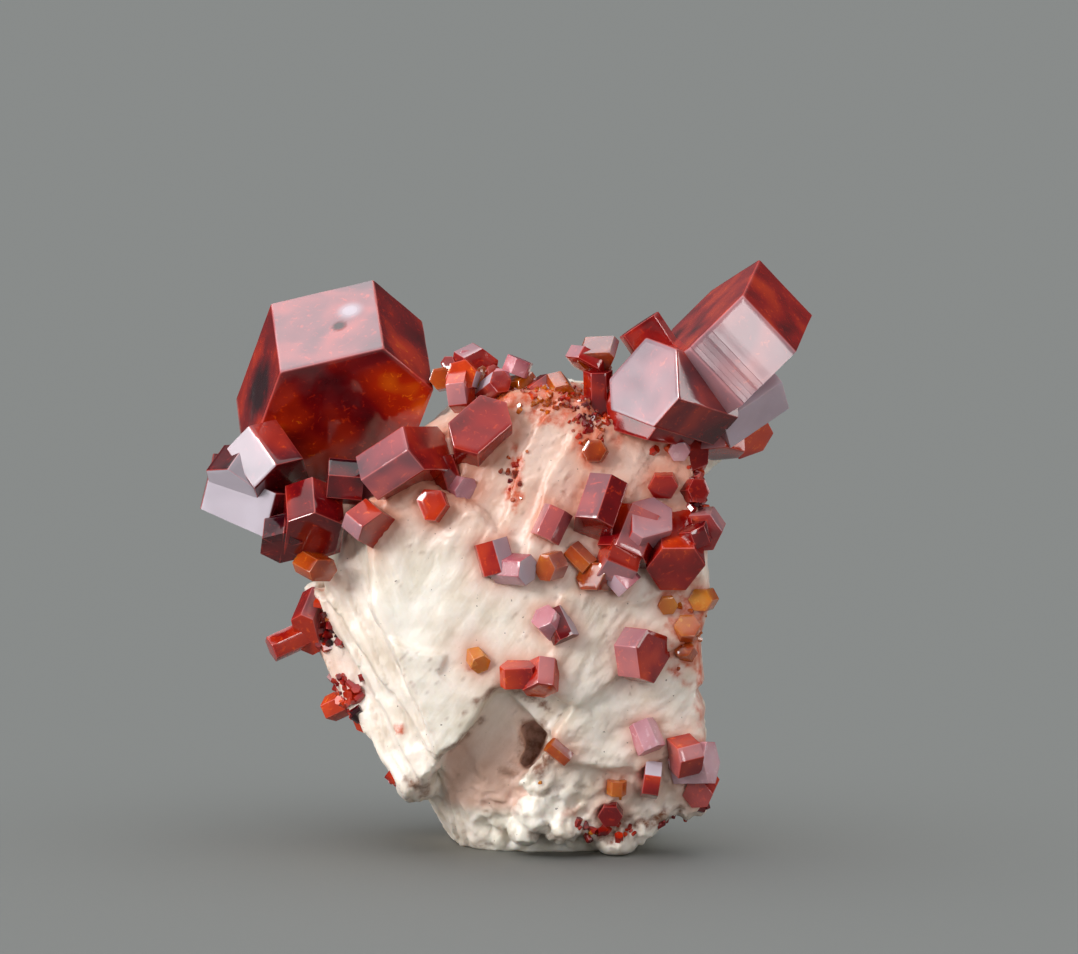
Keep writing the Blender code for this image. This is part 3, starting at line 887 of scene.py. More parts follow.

# The glow of each crystal and of each spot paints inner light into the body colour; the
# frosting numbers paint a lilac film that is partly a painted sheen of reflected light.
PIECES = (
    CrystalPiece("giant_cluster", M, (
        Crystal(M, (-12.2, -2.0, 30.9), (-82.5, -31), 15.5, 13.2, 8.6, 0.43, ((1, 0.42),),
                (1.12, 0.98, 0.88, 1.10, 1.0, 0.86)),
        Crystal(M, (-16.2, -4.5, 27.0), (-46, -41.5), 10.5, 5.5, 4.0, 0.3, ((2, 0.8), (1, 0.1)),
                (0.76, 1.08, 1.08, 0.78, 1.07, 1.10)),
        Crystal(M, (-18.3, -3.0, 27.9), (-40.5, 71), 222, 6.4, 3.5, 0.2, ((5, 1.0),),
                (1.18, 1.0, 0.73, 1.13, 1.05, 0.68)),
        Crystal(M, (-19.9, -4.5, 26.8), (-130.5, -41.5), 9, 4.3, 2.6, 0.2,
                ((TIP, 1.0), (0, 0.7))),
        Crystal(M, (-16.2, -5.0, 24.1), (86.5, 42.5), 39, 3.0, 2.0, 0.2),
        Crystal(M, (-14.0, -7.0, 23.5), (-83.5, -44), 27.5, 4.9, 3.4, 0.42,
                sides=(1.03, 1.08, 0.82, 1.10, 1.0, 0.89)),
        Crystal(O, (-13.2, -7.5, 21.2), (-56.5, -11.5), 356, 2.0, 2.4, 0.3,
                sides=(1.09, 0.85, 1.02, 1.11, 0.82, 1.04)),
        Crystal(M, (-13.0, -6.0, 27.7), (-175.5, 5), 19, 3.0, 2.6, 0.2),
    ), (
        Spot((-6.0, -4.6, 31.2), 4.2, glow=0.62),
        Spot((-8.0, -3.0, 35.6), 3.6, glow=0.34),
        Spot((-16.4, -4.5, 31.0), 3.0, glow=0.30),
        Spot((-19.0, -0.5, 34.0), 4.0, glow=-0.40),
        Spot((-12.6, -6.0, 30.4), 3.4, glow=-0.34),
        Spot((-11.6, -1.2, 40.4), 1.5, frost_and_sheen=1.00),
        Spot((-15.1, -1.5, 39.8), 0.8, frost_and_sheen=0.8),
        Spot((-12.2, -2.2, 38.8), 0.7, glow=-0.50, frost_and_sheen=-1.00),
    )),
    CrystalPiece("lilac_crystal_group", K, (
        Crystal(R, (-5.3, -7.4, 30.2), (-22, 32.5), 354, 6.3, 4.4, 0.36,
                ((2, 0.35), (3, 0.3), (TIP, 0.08)), (1.11, 0.59, 1.09, 1.13, 0.57, 1.11)),
        Crystal(R, (-6.3, -6.2, 28.4), (-58, -37.5), 2.5, 2.6, 2.2, 0.35,
                sides=(0.92, 0.92, 1.13, 0.92, 0.91, 1.13)),
        Crystal(M, (-3.6, -6.8, 26.5), (-49.5, -63), 29.5, 1.9, 3.0, 0.45),
        Crystal(K, (-2.8, -7.8, 27.2), (-57, -3.5), 350, 1.7, 2.6, 0.7, ((TIP, 0.5),),
                (1.11, 1.0, 0.87, 1.11, 1.0, 0.86)),
        Crystal(R, (-5.3, -9.4, 26.4), (-106, 14), 57, 2.1, 3.0, 0.6,
                sides=(0.93, 1.05, 0.90, 1.22, 0.96, 0.94)),
        Crystal(R, (-1.8, -8.0, 32.0), (-91, 28), 343.5, 4.2, 4.4, 0.42, ((TIP, 0.0),),
                (1.09, 1.07, 0.80, 1.06, 1.09, 0.77)),
    )),
    lone("red_crystal_upper", R, (-9.2, -9.0, 24.3), (-42.5, -28.5), 36, 3.2, 1.9, 0.32,
         ((2, 0.5),), (0.86, 0.98, 1.14, 0.83, 1.0, 1.11)),
    lone("pink_box_crystal", K, (-9.3, -5.0, 27.5), (75, 78), 24, 1.9, 2.0, 0.6),
    CrystalPiece("right_crown", R, (
        Crystal(R, (14.55, -4.2, 39.6), (-173.5, 46.5), 35.5, 11.1, 5.7, 0.42,
                ((5, 0.55), (TIP, 0.15), (4, 0.6)), (0.88, 0.98, 1.13, 0.81, 1.05, 1.07),
                ((5, 0.04, 0.52, 0.34, 0.16),)),
        Crystal(M, (10.2, -9.4, 35.1), (-136, 16), 349, 6.3, 6.4, 0.45, ((TIP, 0.62), (0, 0.2)),
                (1.0, 1.0, 0.92, 1.13, 0.87, 1.05)),
        Crystal(R, (9.7, -8.2, 33.8), (-136, 10), 352, 5.8, 4.4, 0.42,
                sides=(1.0, 1.0, 0.95, 1.12, 0.92, 1.0)),
        Crystal(R, (9.8, -3.2, 38.9), (180, 56), 330, 3.0, 4.6, 0.4,
                sides=(0.46, 1.0, 1.0, 0.46, 1.0, 1.0)),
        Crystal(K, (19.2, -3.6, 34.8), (24, 30), 57, 4.7, 5.5, 0.5, ((1, 0.85), (2, 0.9))),
        Crystal(R, (18.2, -3.6, 30.4), (-48, -29.5), 16.5, 3.3, 4.5, 0.5,
                sides=(1.0, 0.90, 1.07, 1.0, 0.89, 1.08)),
        Crystal(R, (15.7, -4.7, 29.5), (-89.5, -69), 18.5, 3.4, 2.6, 0.45, ((1, 0.5),)),
        Crystal(M, (6.8, -5.4, 35.7), (-99, 81.5), 11, 1.9, 4.4, 0.42),
        Crystal(O, (6.7, -5.5, 36.3), (-103, -35), 4.5, 2.4, 1.9, 0.25, ((0, 0.7), (1, 0.5)),
                (1.20, 0.73, 1.10, 1.0, 0.93, 0.90)),
        Crystal(R, (5.9, -4.5, 35.8), (-145.5, -55), 2.5, 3.0, 1.0, 0.5, ((1, 0.6),)),
        Crystal(M, (13.8, -6.2, 29.7), (-70, 14), 20, 2.3, 3.0, 0.42),
        Crystal(K, (12.7, -7.4, 29.9), (-91.5, -13.5), 0, 1.4, 2.4, 0.9,
                ((TIP, 0.2), (1, 0.9))),
        Crystal(R, (13.4, -5.6, 28.7), (-119, -6), 358.5, 1.3, 1.8, 0.5),
    )),
    CrystalPiece("centre_cluster", M, (
        Crystal(R, (12.4, -10.3, 21.7), (-87, -31), 359.5, 3.8, 5.0, 0.42,
                sides=(1.07, 0.98, 0.98, 1.0, 1.05, 0.91)),
        Crystal(R, (10.6, -10.1, 25.4), (-67.5, 44), 13.5, 3.5, 4.6, 0.4,
                ((TIP, 0.55), (3, 0.5), (4, 0.5)), (1.10, 0.97, 0.82, 1.21, 0.85, 0.94)),
        Crystal(M, (8.6, -9.7, 22.5), (-132, -57), 9.5, 3.7, 3.4, 0.45, ((0, 0.3),)),
        Crystal(M, (6.4, -10.4, 24.6), (-123.5, -57), 358.5, 3.7, 3.6, 0.5, ((1, 0.3),),
                (1.12, 1.03, 0.77, 1.14, 1.02, 0.79)),
        Crystal(K, (9.1, -10.2, 20.35), (-10, -47.5), 61, 2.0, 2.6, 0.6, ((2, 0.7),)),
        Crystal(M, (9.3, -9.7, 21.8), (14, -23), 7.5, 3.0, 2.4, 0.5, ((3, 0.5),)),
        Crystal(O, (6.2, -10.5, 21.2), (-128, 9), 3.5, 2.2, 2.6, 0.2,
                sides=(1.11, 0.90, 0.96, 1.11, 0.91, 0.96)),
        Crystal(O, (6.2, -9.8, 21.7), (-25, -40.5), 25, 1.5, 2.0, 0.35, ((1, 0.3),)),
        Crystal(M, (13.6, -9.7, 24.7), (-155.5, 67.5), 23.5, 2.0, 1.4, 0.4),
        Crystal(R, (14.3, -8.0, 24.05), (-98, -8), 4, 2.7, 2.4, 0.6,
                ((0, 0.6), (1, 0.5), (TIP, 0.15))),
    )),
    CrystalPiece("pinkish_bar", K, (
        Crystal(R, (2.9, -9.8, 23.8), (-155, -61.5), 4, 2.0, 2.4, 0.5,
                ((0, 0.3), (1, 0.45), (5, 0.3))),
    )),
    CrystalPiece("orange_crystal_right", O, (
        Crystal(R, (11.5, -8.2, 27.4), (-92, -9), 0, 1.9, 1.6, 0.55,
                sides=(1.07, 0.87, 1.0, 1.05, 0.90, 1.0)),
    )),
    lone("edge_crystal", R, (14.15, -7.6, 27.1), (-57, 8.5), 353, 1.7, 2.6, 0.4),
    CrystalPiece("white_tipped_group", K, (
        Crystal(K, (1.7, -11.0, 21.7), (-39, 1), 18.5, 2.0, 2.8, 0.4, ((TIP, 1.0), (3, 0.5)),
                (1.08, 0.94, 1.0, 1.03, 1.0, 0.94)),
        Crystal(O, (2.9, -10.8, 21.8), (-127.5, -5), 0, 1.8, 1.6, 0.45, ((0, 0.45), (5, 0.6)),
                (0.95, 1.12, 0.87, 1.03, 1.05, 0.94)),
        Crystal(R, (-0.4, -9.5, 21.3), (-21, -73), 29, 2.4, 2.4, 0.45, ((1, 0.8),)),
    )),
    CrystalPiece("pink_and_dark_pair", M, (
        Crystal(M, (4.5, -10.4, 16.5), (-39.5, -57.5), 45, 1.8, 2.4, 0.34, ((0, 0.8),)),
        Crystal(K, (2.8, -10.8, 18.3), (-128.5, 38), 32, 1.8, 2.4, 0.6,
                ((4, 0.4), (TIP, 0.25))),
    )),
    lone("yellow_crystal", O, (-1.7, -10.4, 14.7), (-68.5, -24.5), 22, 1.4, 2.0, 0.7),
    CrystalPiece("step_pair", R, (
        Crystal(R, (2.6, -11.1, 12.9), (-96.5, -55.5), 345, 2.3, 2.2, 0.6, ((1, 0.35),),
                (1.08, 1.04, 0.84, 1.11, 1.0, 0.87)),
        Crystal(R, (1.0, -10.6, 14.8), (-98, 73.5), 8.5, 2.3, 1.6, 0.55, ((TIP, 0.2),),
                (1.0, 0.93, 0.94, 1.16, 0.77, 1.11)),
    )),
    lone("low_large_crystal", R, (10.75, -10.2, 15.4), (-38, 0), 42, 3.7, 2.0, 0.42,
         ((1, 0.5), (2, 0.42)), (0.90, 1.04, 0.98, 1.05, 0.92, 1.10)),
    lone("lilac_bar_low", K, (10.75, -8.9, 8.2), (-40, -60), 51, 1.9, 2.2, 0.6,
         ((1, 0.4), (0, 0.4))),
    CrystalPiece("low_edge_cluster", R, (
        Crystal(K, (15.1, -7.7, 7.3), (-25, 5), 351, 2.7, 2.8, 0.9, ((3, 0.6), (TIP, 0.5)),
                (1.0, 1.0, 1.0, 1.0, 1.26, 1.10)),
        Crystal(R, (12.2, -8.6, 7.6), (-161, -11), 347, 3.1, 1.8, 0.45, ((0, 0.45), (TIP, 0.3)),
                (1.17, 0.82, 0.98, 1.12, 0.87, 0.93)),
        Crystal(R, (14.1, -7.3, 4.65), (-102.5, -14), 5.5, 2.0, 2.8, 0.5, ((TIP, 0.25),)),
    )),
    lone("white_and_red_bar", R, (10.1, -8.0, 6.0), (-178.5, 8.5), 20, 2.5, 1.2, 0.4,
         ((0, 1.0), (TIP, 0.3))),
    lone("amber_chip", O, (8.15, -8.0, 4.8), (106, -81), 13.5, 1.3, 1.1, 0.6),
    lone("foot_crystal", M, (7.7, -8.2, 3.2), (-93, -17), 0.5, 1.6, 2.4, 0.4),
    lone("hollow_bar", O, (4.6, -9.6, 7.65), (13.5, -40), 54.5, 1.2, 1.8, 0.4, ((1, 0.5),)),
    lone("amber_crystal_a", O, (11.9, -9.0, 18.8), (-81, -10.5), 2, 1.3, 1.6, 0.5),
    CrystalPiece("amber_pair", O, (
        Crystal(O, (13.3, -9.0, 17.4), (-84, 29), 359, 1.7, 2.0, 0.5),
        Crystal(O, (13.0, -8.2, 15.7), (-105, 27), 5, 1.4, 1.8, 0.55),
    )),
    lone("amber_crystal_b", O, (14.2, -8.6, 19.2), (-108.5, 3), 0, 1.6, 1.8, 0.5),
    CrystalPiece("left_edge_pair", R, (
        Crystal(R, (-14.7, -2.2, 15.8), (-105, -30.5), 333, 3.0, 3.4, 0.5,
                ((0, 0.3), (1, 0.35)), (0.56, 1.11, 1.10, 0.60, 1.07, 1.15)),
        Crystal(R, (-17.3, -2.0, 14.7), (-162, -22), 26.5, 1.8, 4.8, 0.5),
    )),
    lone("left_red_crystal_a", R, (-12.0, -1.6, 12.7), (-123.5, -21.5), 339.5, 1.6, 2.2, 0.55),
    lone("left_red_crystal_b", R, (-11.5, -0.9, 10.8), (-42.5, 23.5), 340.5, 1.8, 2.2, 0.55),
    lone("left_red_crystal_c", R, (-10.6, -0.6, 9.0), (-124.5, -20), 342.5, 1.7, 1.9, 0.5),
    lone("round_orange_crystal", O, (6.5, -8.2, 30.1), (-102.5, 12), 1, 1.6, 1.8, 0.35),
    lone("back_crystal_large", M, (-2.4, 11.15, 22.4), (104, 24), 12, 5.2, 5.4, 0.35),
    lone("back_crystal_dark", M, (5.8, 11.0, 14.2), (78, -12), 34, 3.8, 4.2, 0.25),
    lone("back_crystal_small", R, (1.6, 11.4, 28.0), (88, 40), 20, 2.6, 3.4, 0.45),
    lone("back_crystal_low", O, (-5.2, 10.2, 9.6), (122, 8), 5, 2.4, 3.0, 0.35),
    lone("right_side_crystal", R, (14.0, 6.0, 20.4), (40, 18), 28, 3.0, 3.6, 0.42),
    lone("right_side_crystal_low", R, (14.2, 2.6, 10.2), (-6, -8), 14, 2.4, 3.2, 0.5),
)

CRUST = (
    Crystal(R, (-3.9, -4.5, 34.0), (166, -7.5), 26.5, 2.8, 1.4, 0.5, ((5, 0.5),)),
    Crystal(R, (-3.2, -5.0, 35.3), (-100.5, 8), 315, 2.1, 3.4, 0.6, ((0, 0.9),)),
    Crystal(R, (-1.8, -3.2, 35.9), (-68, -8), 24, 2.4, 2.0, 0.42, ((1, 0.6),),
            (0.89, 0.91, 1.16, 0.88, 0.92, 1.15)),
    Crystal(K, (0.7, -4.0, 35.3), (-176, -68), 20, 1.8, 1.2, 0.6),
    Crystal(R, (-0.3, -5.4, 34.9), (-64.5, 23), 3.5, 1.6, 2.8, 0.5, ((2, 0.95), (3, 0.2))),
    Crystal(R, (-4.2, -3.6, 36.1), (-110.5, 25), 3, 1.0, 2.4, 0.4),
    Crystal(K, (-2.9, -2.8, 36.5), (-97.5, 4), 3.5, 0.9, 2.0, 0.6),
)


@dataclass(frozen=True)
class CrustLine:
    """The grains of the granular crust, each overlapping the one before it."""

    line: tuple[Point3, ...] = (
        (-4.6, -3.2, 34.6), (-1.8, -2.8, 34.8), (1.6, -3.4, 34.2), (4.2, -4.4, 33.9),
        (5.0, -4.8, 33.2),
    )
    step: float = 0.8
    spread: float = 0.3
    widths: Point2 = (1.2, 1.8)
    seed: int = 11

    def grains(self) -> tuple[Crystal, ...]:
        """The grains along the line, in the places that their solids have."""
        rng = random.Random(self.seed)
        found = []
        for start, end in zip(self.line, self.line[1:]):
            start, end = Vector(start), Vector(end)
            steps = max(1, round((end - start).length / self.step))
            for i in range(steps):
                middle = start.lerp(end, i / steps)
                middle += Vector([rng.uniform(-self.spread, self.spread) for _ in range(3)])
                way = (rng.uniform(-150, -30), rng.uniform(-30, 50))
                width = rng.uniform(*self.widths)
                tip = middle + direction(*way) * (0.5 * width)
                turn = rng.uniform(0, 60)
                tone = (O, R, K)[i % 3]
                found.append(Crystal(tone, tuple(tip), way, turn, width, 1.2 * width, 0.45))
        return tuple(found)


# ---------------------------------------------------------------------------- barite


@dataclass(frozen=True)
class BariteBlock:
    """The barite under the crystals: a core with broad blades and fans grown on it."""

    voxel: float = 0.24         # width of the finest relief that the mesh holds
    ring_points: int = 16
    ring_roundness: float = 2.5
    core: tuple[tuple[float, ...], ...] = (     # height, left, right, front, back
        (-0.6, -3.6, 10.2, -4.4, 6.4),
        (2.0, -5.2, 12.0, -5.8, 7.2),
        (5.0, -6.8, 13.0, -7.0, 7.8),
        (9.0, -8.8, 13.2, -8.0, 8.0),
        (13.0, -10.6, 13.2, -8.7, 8.2),
        (17.0, -12.0, 13.4, -8.8, 8.2),
        (21.0, -13.2, 13.6, -8.4, 7.8),
        (25.0, -12.8, 13.2, -7.6, 7.0),
        (29.0, -9.2, 12.0, -6.4, 5.6),
        (32.0, -4.8, 8.8, -5.0, 4.2),
        (34.4, -1.2, 6.0, -2.8, 2.4),
    )
    face_thickness: float = 4.0
    face_chamfer: float = 0.7

    # Broad blades and notches: depth of the face, its slopes to the right and up, outline.
    faces: tuple[tuple[float, float, float, Outline], ...] = (
        (-3.4, -0.55, 0.10, ((-14.7, 18.4), (-13.9, 18.9), (-9.6, 12.2), (-5.5, 5.8),
                             (-7.3, 4.4), (-11.9, 11.0), (-14.4, 16.2))),
        (-5.4, -0.45, 0.10, ((-14.0, 18.9), (-12.6, 18.5), (-8.1, 11.6), (-4.8, 7.1),
                             (-6.2, 5.7), (-10.0, 12.6), (-13.6, 18.0))),
        (-7.0, -0.35, 0.10, ((-13.2, 20.6), (-11.0, 19.4), (-5.9, 12.4), (-3.7, 8.6),
                             (-4.9, 7.2), (-8.4, 12.4), (-12.9, 18.6))),
        (-9.5, -0.10, 0.07, ((-9.8, 26.0), (-6.1, 27.6), (-1.8, 25.6), (3.8, 19.8),
                             (3.2, 12.9), (0.3, 12.9), (-0.9, 12.8), (-2.2, 10.6),
                             (-3.5, 8.7), (-4.9, 8.0), (-6.6, 12.2), (-9.7, 19.0))),
        (-9.9, -0.04, 0.00, ((-8.4, 16.4), (-6.5, 15.6), (-4.3, 15.4), (-4.9, 13.9),
                             (-3.7, 12.9), (-2.0, 12.2), (-2.6, 10.6), (-3.9, 8.9),
                             (-4.9, 8.4), (-7.2, 13.0))),
        (-6.9, -0.10, 0.26, ((-4.4, 23.4), (-2.6, 30.8), (0.2, 34.0), (4.2, 34.2),
                             (2.2, 31.6), (1.0, 28.8), (-0.6, 24.0))),
        (-7.7, -0.02, 0.24, ((-0.8, 23.2), (0.9, 28.8), (2.2, 31.8), (4.1, 33.8),
                             (5.8, 33.4), (6.8, 32.2), (3.4, 27.0), (1.4, 22.0))),
        (-8.2, 0.14, 0.20, ((1.2, 22.0), (3.1, 28.5), (5.0, 31.5), (7.6, 32.4),
                            (13.2, 30.6), (14.4, 25.0), (14.6, 20.8), (9.8, 18.8),
                            (4.0, 19.4))),
        (-9.2, 0.20, 0.03, ((3.0, 12.8), (3.9, 19.8), (9.8, 20.4), (14.7, 20.8),
                            (14.9, 18.6), (14.0, 16.4), (8.5, 13.8), (5.3, 11.6))),
        (-8.4, 0.24, 0.02, ((3.5, 9.8), (5.3, 11.8), (8.5, 14.0), (14.1, 16.5),
                            (14.4, 12.7), (13.9, 12.2), (14.5, 10.9), (14.6, 8.6),
                            (9.9, 6.6), (4.0, 7.3))),
        (-7.6, 0.16, -0.24, ((2.8, 8.0), (9.9, 8.8), (14.5, 8.7), (14.5, 5.0),
                             (11.2, 2.2), (7.6, 1.2), (3.4, 2.2))),
    )

    # Fans: middle, way of the spine, blades (first bearing, step, count), size of a blade.
    fans: tuple[tuple[Point3, Point2, Point3, Point3], ...] = (
        ((-5.6, 1.6, 20.6), (150, 66), (88, 20, 6), (15.0, 9.4, 1.6)),
        ((-3.6, 2.2, 10.4), (200, 52), (82, 22, 6), (13.5, 8.2, 1.6)),
        ((5.4, 1.2, 21.6), (40, 64), (-28, 22, 7), (15.5, 8.8, 1.7)),
        ((5.6, 1.6, 11.0), (-40, 46), (-44, 23, 7), (14.5, 8.8, 1.6)),
        ((1.4, 0.6, 25.6), (95, 16), (-70, 24, 7), (11.0, 8.6, 1.5)),
        ((3.0, 1.2, 6.0), (10, 12), (40, 26, 5), (15.0, 7.4, 1.6)),
        ((-10.4, 4.0, 26.4), (128, 62), (36, 25, 6), (12.5, 6.6, 1.7)),
        ((12.2, 2.4, 31.6), (60, 66), (-72, 25, 7), (8.4, 5.0, 1.6)),
        ((2.2, 2.6, 30.2), (104, 52), (8, 33, 6), (9.0, 5.4, 1.5)),
    )
    page_section: Outline = ((-0.5, 0.90), (-0.2, 1.0), (0.2, 1.0), (0.5, 0.90))
    page_shrink: float = 0.07   # by which some blades of a fan are smaller
    page: Outline = (
        (-0.50, 0.00), (-0.46, 0.68), (-0.18, 0.98), (0.26, 0.94), (0.47, 0.62), (0.50, 0.00),
    )
    floor_box_size: Point2 = (30.0, 60.0)   # half width and depth of what is cut away
    notch_rim: Outline = ((-12.0, 1.05), (0.0, 0.95))   # how far behind, how much it flares
    knobs: tuple[tuple[Point3, Point3], ...] = (   # middle, half widths
        ((2.7, -7.0, 6.1), (1.9, 1.9, 1.5)),
        ((2.4, -6.4, 3.4), (1.7, 2.2, 1.6)),
        ((4.2, -6.8, 2.4), (1.5, 1.9, 1.5)),
        ((1.5, -5.6, 2.0), (1.2, 1.8, 1.2)),
        ((8.2, -5.2, 1.3), (1.8, 2.2, 1.5)),
        ((9.8, -5.4, 2.0), (1.5, 2.0, 1.3)),
        ((13.4, -4.6, 4.0), (1.6, 2.1, 1.4)),
        ((-6.4, -3.6, 4.9), (1.7, 2.0, 1.2)),
    )
    notches: tuple[tuple[float, float, float, Outline], ...] = (
        (-7.0, 0.02, -0.10, ((-4.9, 7.6), (-3.6, 8.6), (-2.3, 10.3), (-1.0, 12.6),
                             (0.3, 12.7), (2.0, 10.9), (3.3, 9.3), (3.0, 8.4), (2.2, 7.0),
                             (1.0, 5.5), (0.8, 3.0), (-0.4, -2.0), (-7.0, -2.0),
                             (-6.0, 4.6))),
        (-5.2, 0.00, 0.00, ((0.9, 9.9), (2.2, 10.2), (3.2, 9.2), (2.9, 8.2), (1.9, 6.6),
                            (1.0, 6.4), (1.6, 8.2))),
    )

    # Relief: heights of the ledges and of the streaks on them, and where they run.
    uneven: Point2 = (0.10, 0.03)
    plate_relief: Point2 = (0.34, 0.05)     # on the left flank
    plate_way: Point3 = (0.39, 0.0, -0.92)
    plate_pitch: float = 1.15
    crease_relief: Point2 = (0.20, 0.07)    # above the hollow
    crease_way: Point3 = (0.50, 0.0, 0.87)
    ray_relief: Point2 = (0.14, 0.05)       # on the lower right, out from the centre
    ray_centre: Point2 = (1.5, 8.5)
    lump_relief: float = 0.42               # along the foot
    page_relief: Point2 = (0.26, 0.08)      # behind
    page_way: Point3 = (0.25, 0.1, 0.96)
    crack_way: Point3 = (0.62, 0.0, 0.78)

    bounce_and_film_reach: float = 6.0     # how far from a crystal its painted light and red film can reach
    near_bounce_and_film: Point2 = (0.62, 0.8)         # painted light and red film: strength beside a crystal, how far it fades
    far_bounce_and_film: Point2 = (0.16, 3.0)
    upper_tint: float = 0.46                # among the crystals of the upper front
    flank_tint: float = 0.12
    hollow_tint: float = 0.6

    # Stains seen from the front: middle (x, z), half width, half height, lean, strength.
    brown: tuple[tuple[Point2, float, float, float, float], ...] = (
        ((2.3, 8.2), 1.2, 2.0, 10, 0.9), ((0.9, 6.6), 1.3, 0.8, 0, 0.5),
        ((-3.4, 8.8), 0.4, 2.0, -50, 0.8), ((1.2, 12.4), 2.8, 0.35, -30, 0.9),
        ((-1.4, 12.4), 1.8, 0.35, 40, 0.8), ((7.4, 2.0), 2.4, 0.8, 10, 1.0),
        ((11.0, 2.6), 2.0, 0.7, 20, 1.0), ((-6.2, 5.0), 1.1, 0.7, -40, 0.9),
        ((3.0, 1.6), 2.4, 0.4, 0, 0.5), ((3.4, 5.2), 1.6, 0.3, 20, 0.5),
    )
    rust: tuple[tuple[Point2, float, float, float, float], ...] = (
        ((-13.9, 17.0), 0.9, 0.6, -30, 0.8), ((-7.7, 9.5), 0.35, 0.3, 0, 0.9),
        ((13.6, 16.8), 1.8, 3.6, 0, 1.0), ((12.4, 20.0), 1.6, 1.0, 0, 0.8),
        ((0.7, 27.9), 0.6, 2.9, -6, 1.0), ((3.4, 33.6), 3.6, 1.7, -12, 1.0),
        ((6.2, 31.6), 1.6, 2.3, 20, 0.9), ((14.4, 12.2), 0.6, 3.0, 0, 0.7),
        ((-2.2, 14.6), 1.0, 0.4, 0, 0.4), ((4.6, 3.6), 0.9, 0.5, 30, 0.4),
    )

    @staticmethod
    def skin(rings: list[np.ndarray]) -> Object:
        """Skin closed rings of equal length into a closed shell.

        Args:
            rings: points in millimetres, from one end of the shell to the other.

        Returns:
            A new object with the shell.
        """
        bm = bmesh.new()
        rows = [[bm.verts.new(p) for p in ring * MM] for ring in rings]
        count = len(rows[0])
        for low, high in zip(rows, rows[1:]):
            for i in range(count):
                j = (i + 1) % count
                bm.faces.new((low[i], low[j], high[j], high[i]))
        bm.faces.new(rows[0][::-1])
        bm.faces.new(rows[-1])
        bmesh.ops.recalc_face_normals(bm, faces=bm.faces)
        return new_object("shell", finished_mesh(bm, "shell"))

    def core_shell(self) -> Object:
        """The core: rounded box outlines, each level turned a little."""
        rings = []
        for index, (height, left, right, front, back) in enumerate(self.core):
            turn = 0.5 * (index % 2)
            angle = 2 * np.pi * (np.arange(self.ring_points) + turn) / self.ring_points
            c, s = np.cos(angle), np.sin(angle)
            power = 2 / self.ring_roundness
            x = (left + right) / 2 + (right - left) / 2 * np.sign(c) * np.abs(c) ** power
            y = (front + back) / 2 + (back - front) / 2 * np.sign(s) * np.abs(s) ** power
            rings.append(np.stack((x, y, np.full_like(x, height)), 1))
        return self.skin(rings)

    def slab(
        self, row: tuple[float, float, float, Outline], depths: Sequence[Point2]
    ) -> Object:
        """A blade seen from the front.

        Args:
            row: depth of its face, how it slopes to the right and upwards, its outline.
            depths: how far behind the face each ring lies, and how much it flares.

        Returns:
            A new object with the closed blade.
        """
        depth, slope_x, slope_z, outline = row
        flat = np.array(outline)
        middle = flat.mean(0)
        y = depth + (flat - middle) @ np.array((slope_x, slope_z))
        rings = []
        for behind, flare in depths:
            wide = middle + (flat - middle) * flare
            rings.append(np.stack((wide[:, 0], y + behind, wide[:, 1]), 1))
        return self.skin(rings)

    def fan_pages(self) -> list[Object]:
        """The upright blades that share a spine, like the pages of a book."""
        found = []
        for middle, spine_way, (first, step, count), (length, reach, thickness) in self.fans:
            spine = direction(*spine_way)
            for i in range(int(count)):
                flat = direction(first + i * step, 0)
                out = (flat - spine * flat.dot(spine)).normalized()
                side = spine.cross(out)
                shrink = 1.0 - self.page_shrink * (i % 3)
                rings = []
                for offset, scale in self.page_section:
                    ring = [
                        Vector(middle)
                        + spine * (along * length * shrink * scale)
                        + out * (away * reach * shrink * scale)
                        + side * (offset * thickness)
                        for along, away in self.page
                    ]
                    rings.append(np.array(ring))
                found.append(self.skin(rings))
        return found

    def knob_shells(self) -> list[Object]:
        """The rounded knobs along the lower edge."""
        found = []
        for middle, radii in self.knobs:
            bm = bmesh.new()
            bmesh.ops.create_icosphere(bm, subdivisions=3, radius=1.0)
            grow = Matrix.Diagonal((*[r * MM for r in radii], 1))
            bm.transform(Matrix.Translation(Vector(middle) * MM) @ grow)
            found.append(new_object("shell", finished_mesh(bm, "shell")))
        return found

    def floor_box(self) -> Object:
        """Everything below the flat cut."""
        wide, deep = self.floor_box_size
        ring = np.array(((-wide, -wide), (wide, -wide), (wide, wide), (-wide, wide)))
        low = np.column_stack((ring, np.full(4, -deep)))
        high = np.column_stack((ring, np.zeros(4)))
        return self.skin([low, high])

    def joined(self) -> Mesh:
        """The block as one closed mesh of even points.

        Returns:
            The mesh in metres, in the tables' frame.
        """
        block = self.core_shell()
        groups = {"UNION": bpy.data.collections.new("grown"),
                  "DIFFERENCE": bpy.data.collections.new("cut")}
        rim = ((0.0, 0.97), (self.face_chamfer, 1.03), (self.face_thickness, 1.06))
        grown = [self.slab(row, rim) for row in self.faces]
        grown += self.fan_pages() + self.knob_shells()
        cut = [self.slab(row, self.notch_rim) for row in self.notches]
        cut.append(self.floor_box())
        for operation, shells in (("UNION", grown), ("DIFFERENCE", cut)):
            for shell in shells:
                bpy.context.scene.collection.objects.unlink(shell)
                groups[operation].objects.link(shell)
            modifier = block.modifiers.new(operation.lower(), "BOOLEAN")
            modifier.operation = operation
            modifier.operand_type = "COLLECTION"
            modifier.collection = groups[operation]
            modifier.solver = "MANIFOLD"
        remesh = block.modifiers.new("even", "REMESH")
        remesh.mode = "VOXEL"
        remesh.voxel_size = self.voxel * MM
        mesh = flatten(block)
        for shell in grown + cut + [block]:
            remove_object(shell)
        for collection in groups.values():
            bpy.data.collections.remove(collection)
        return mesh

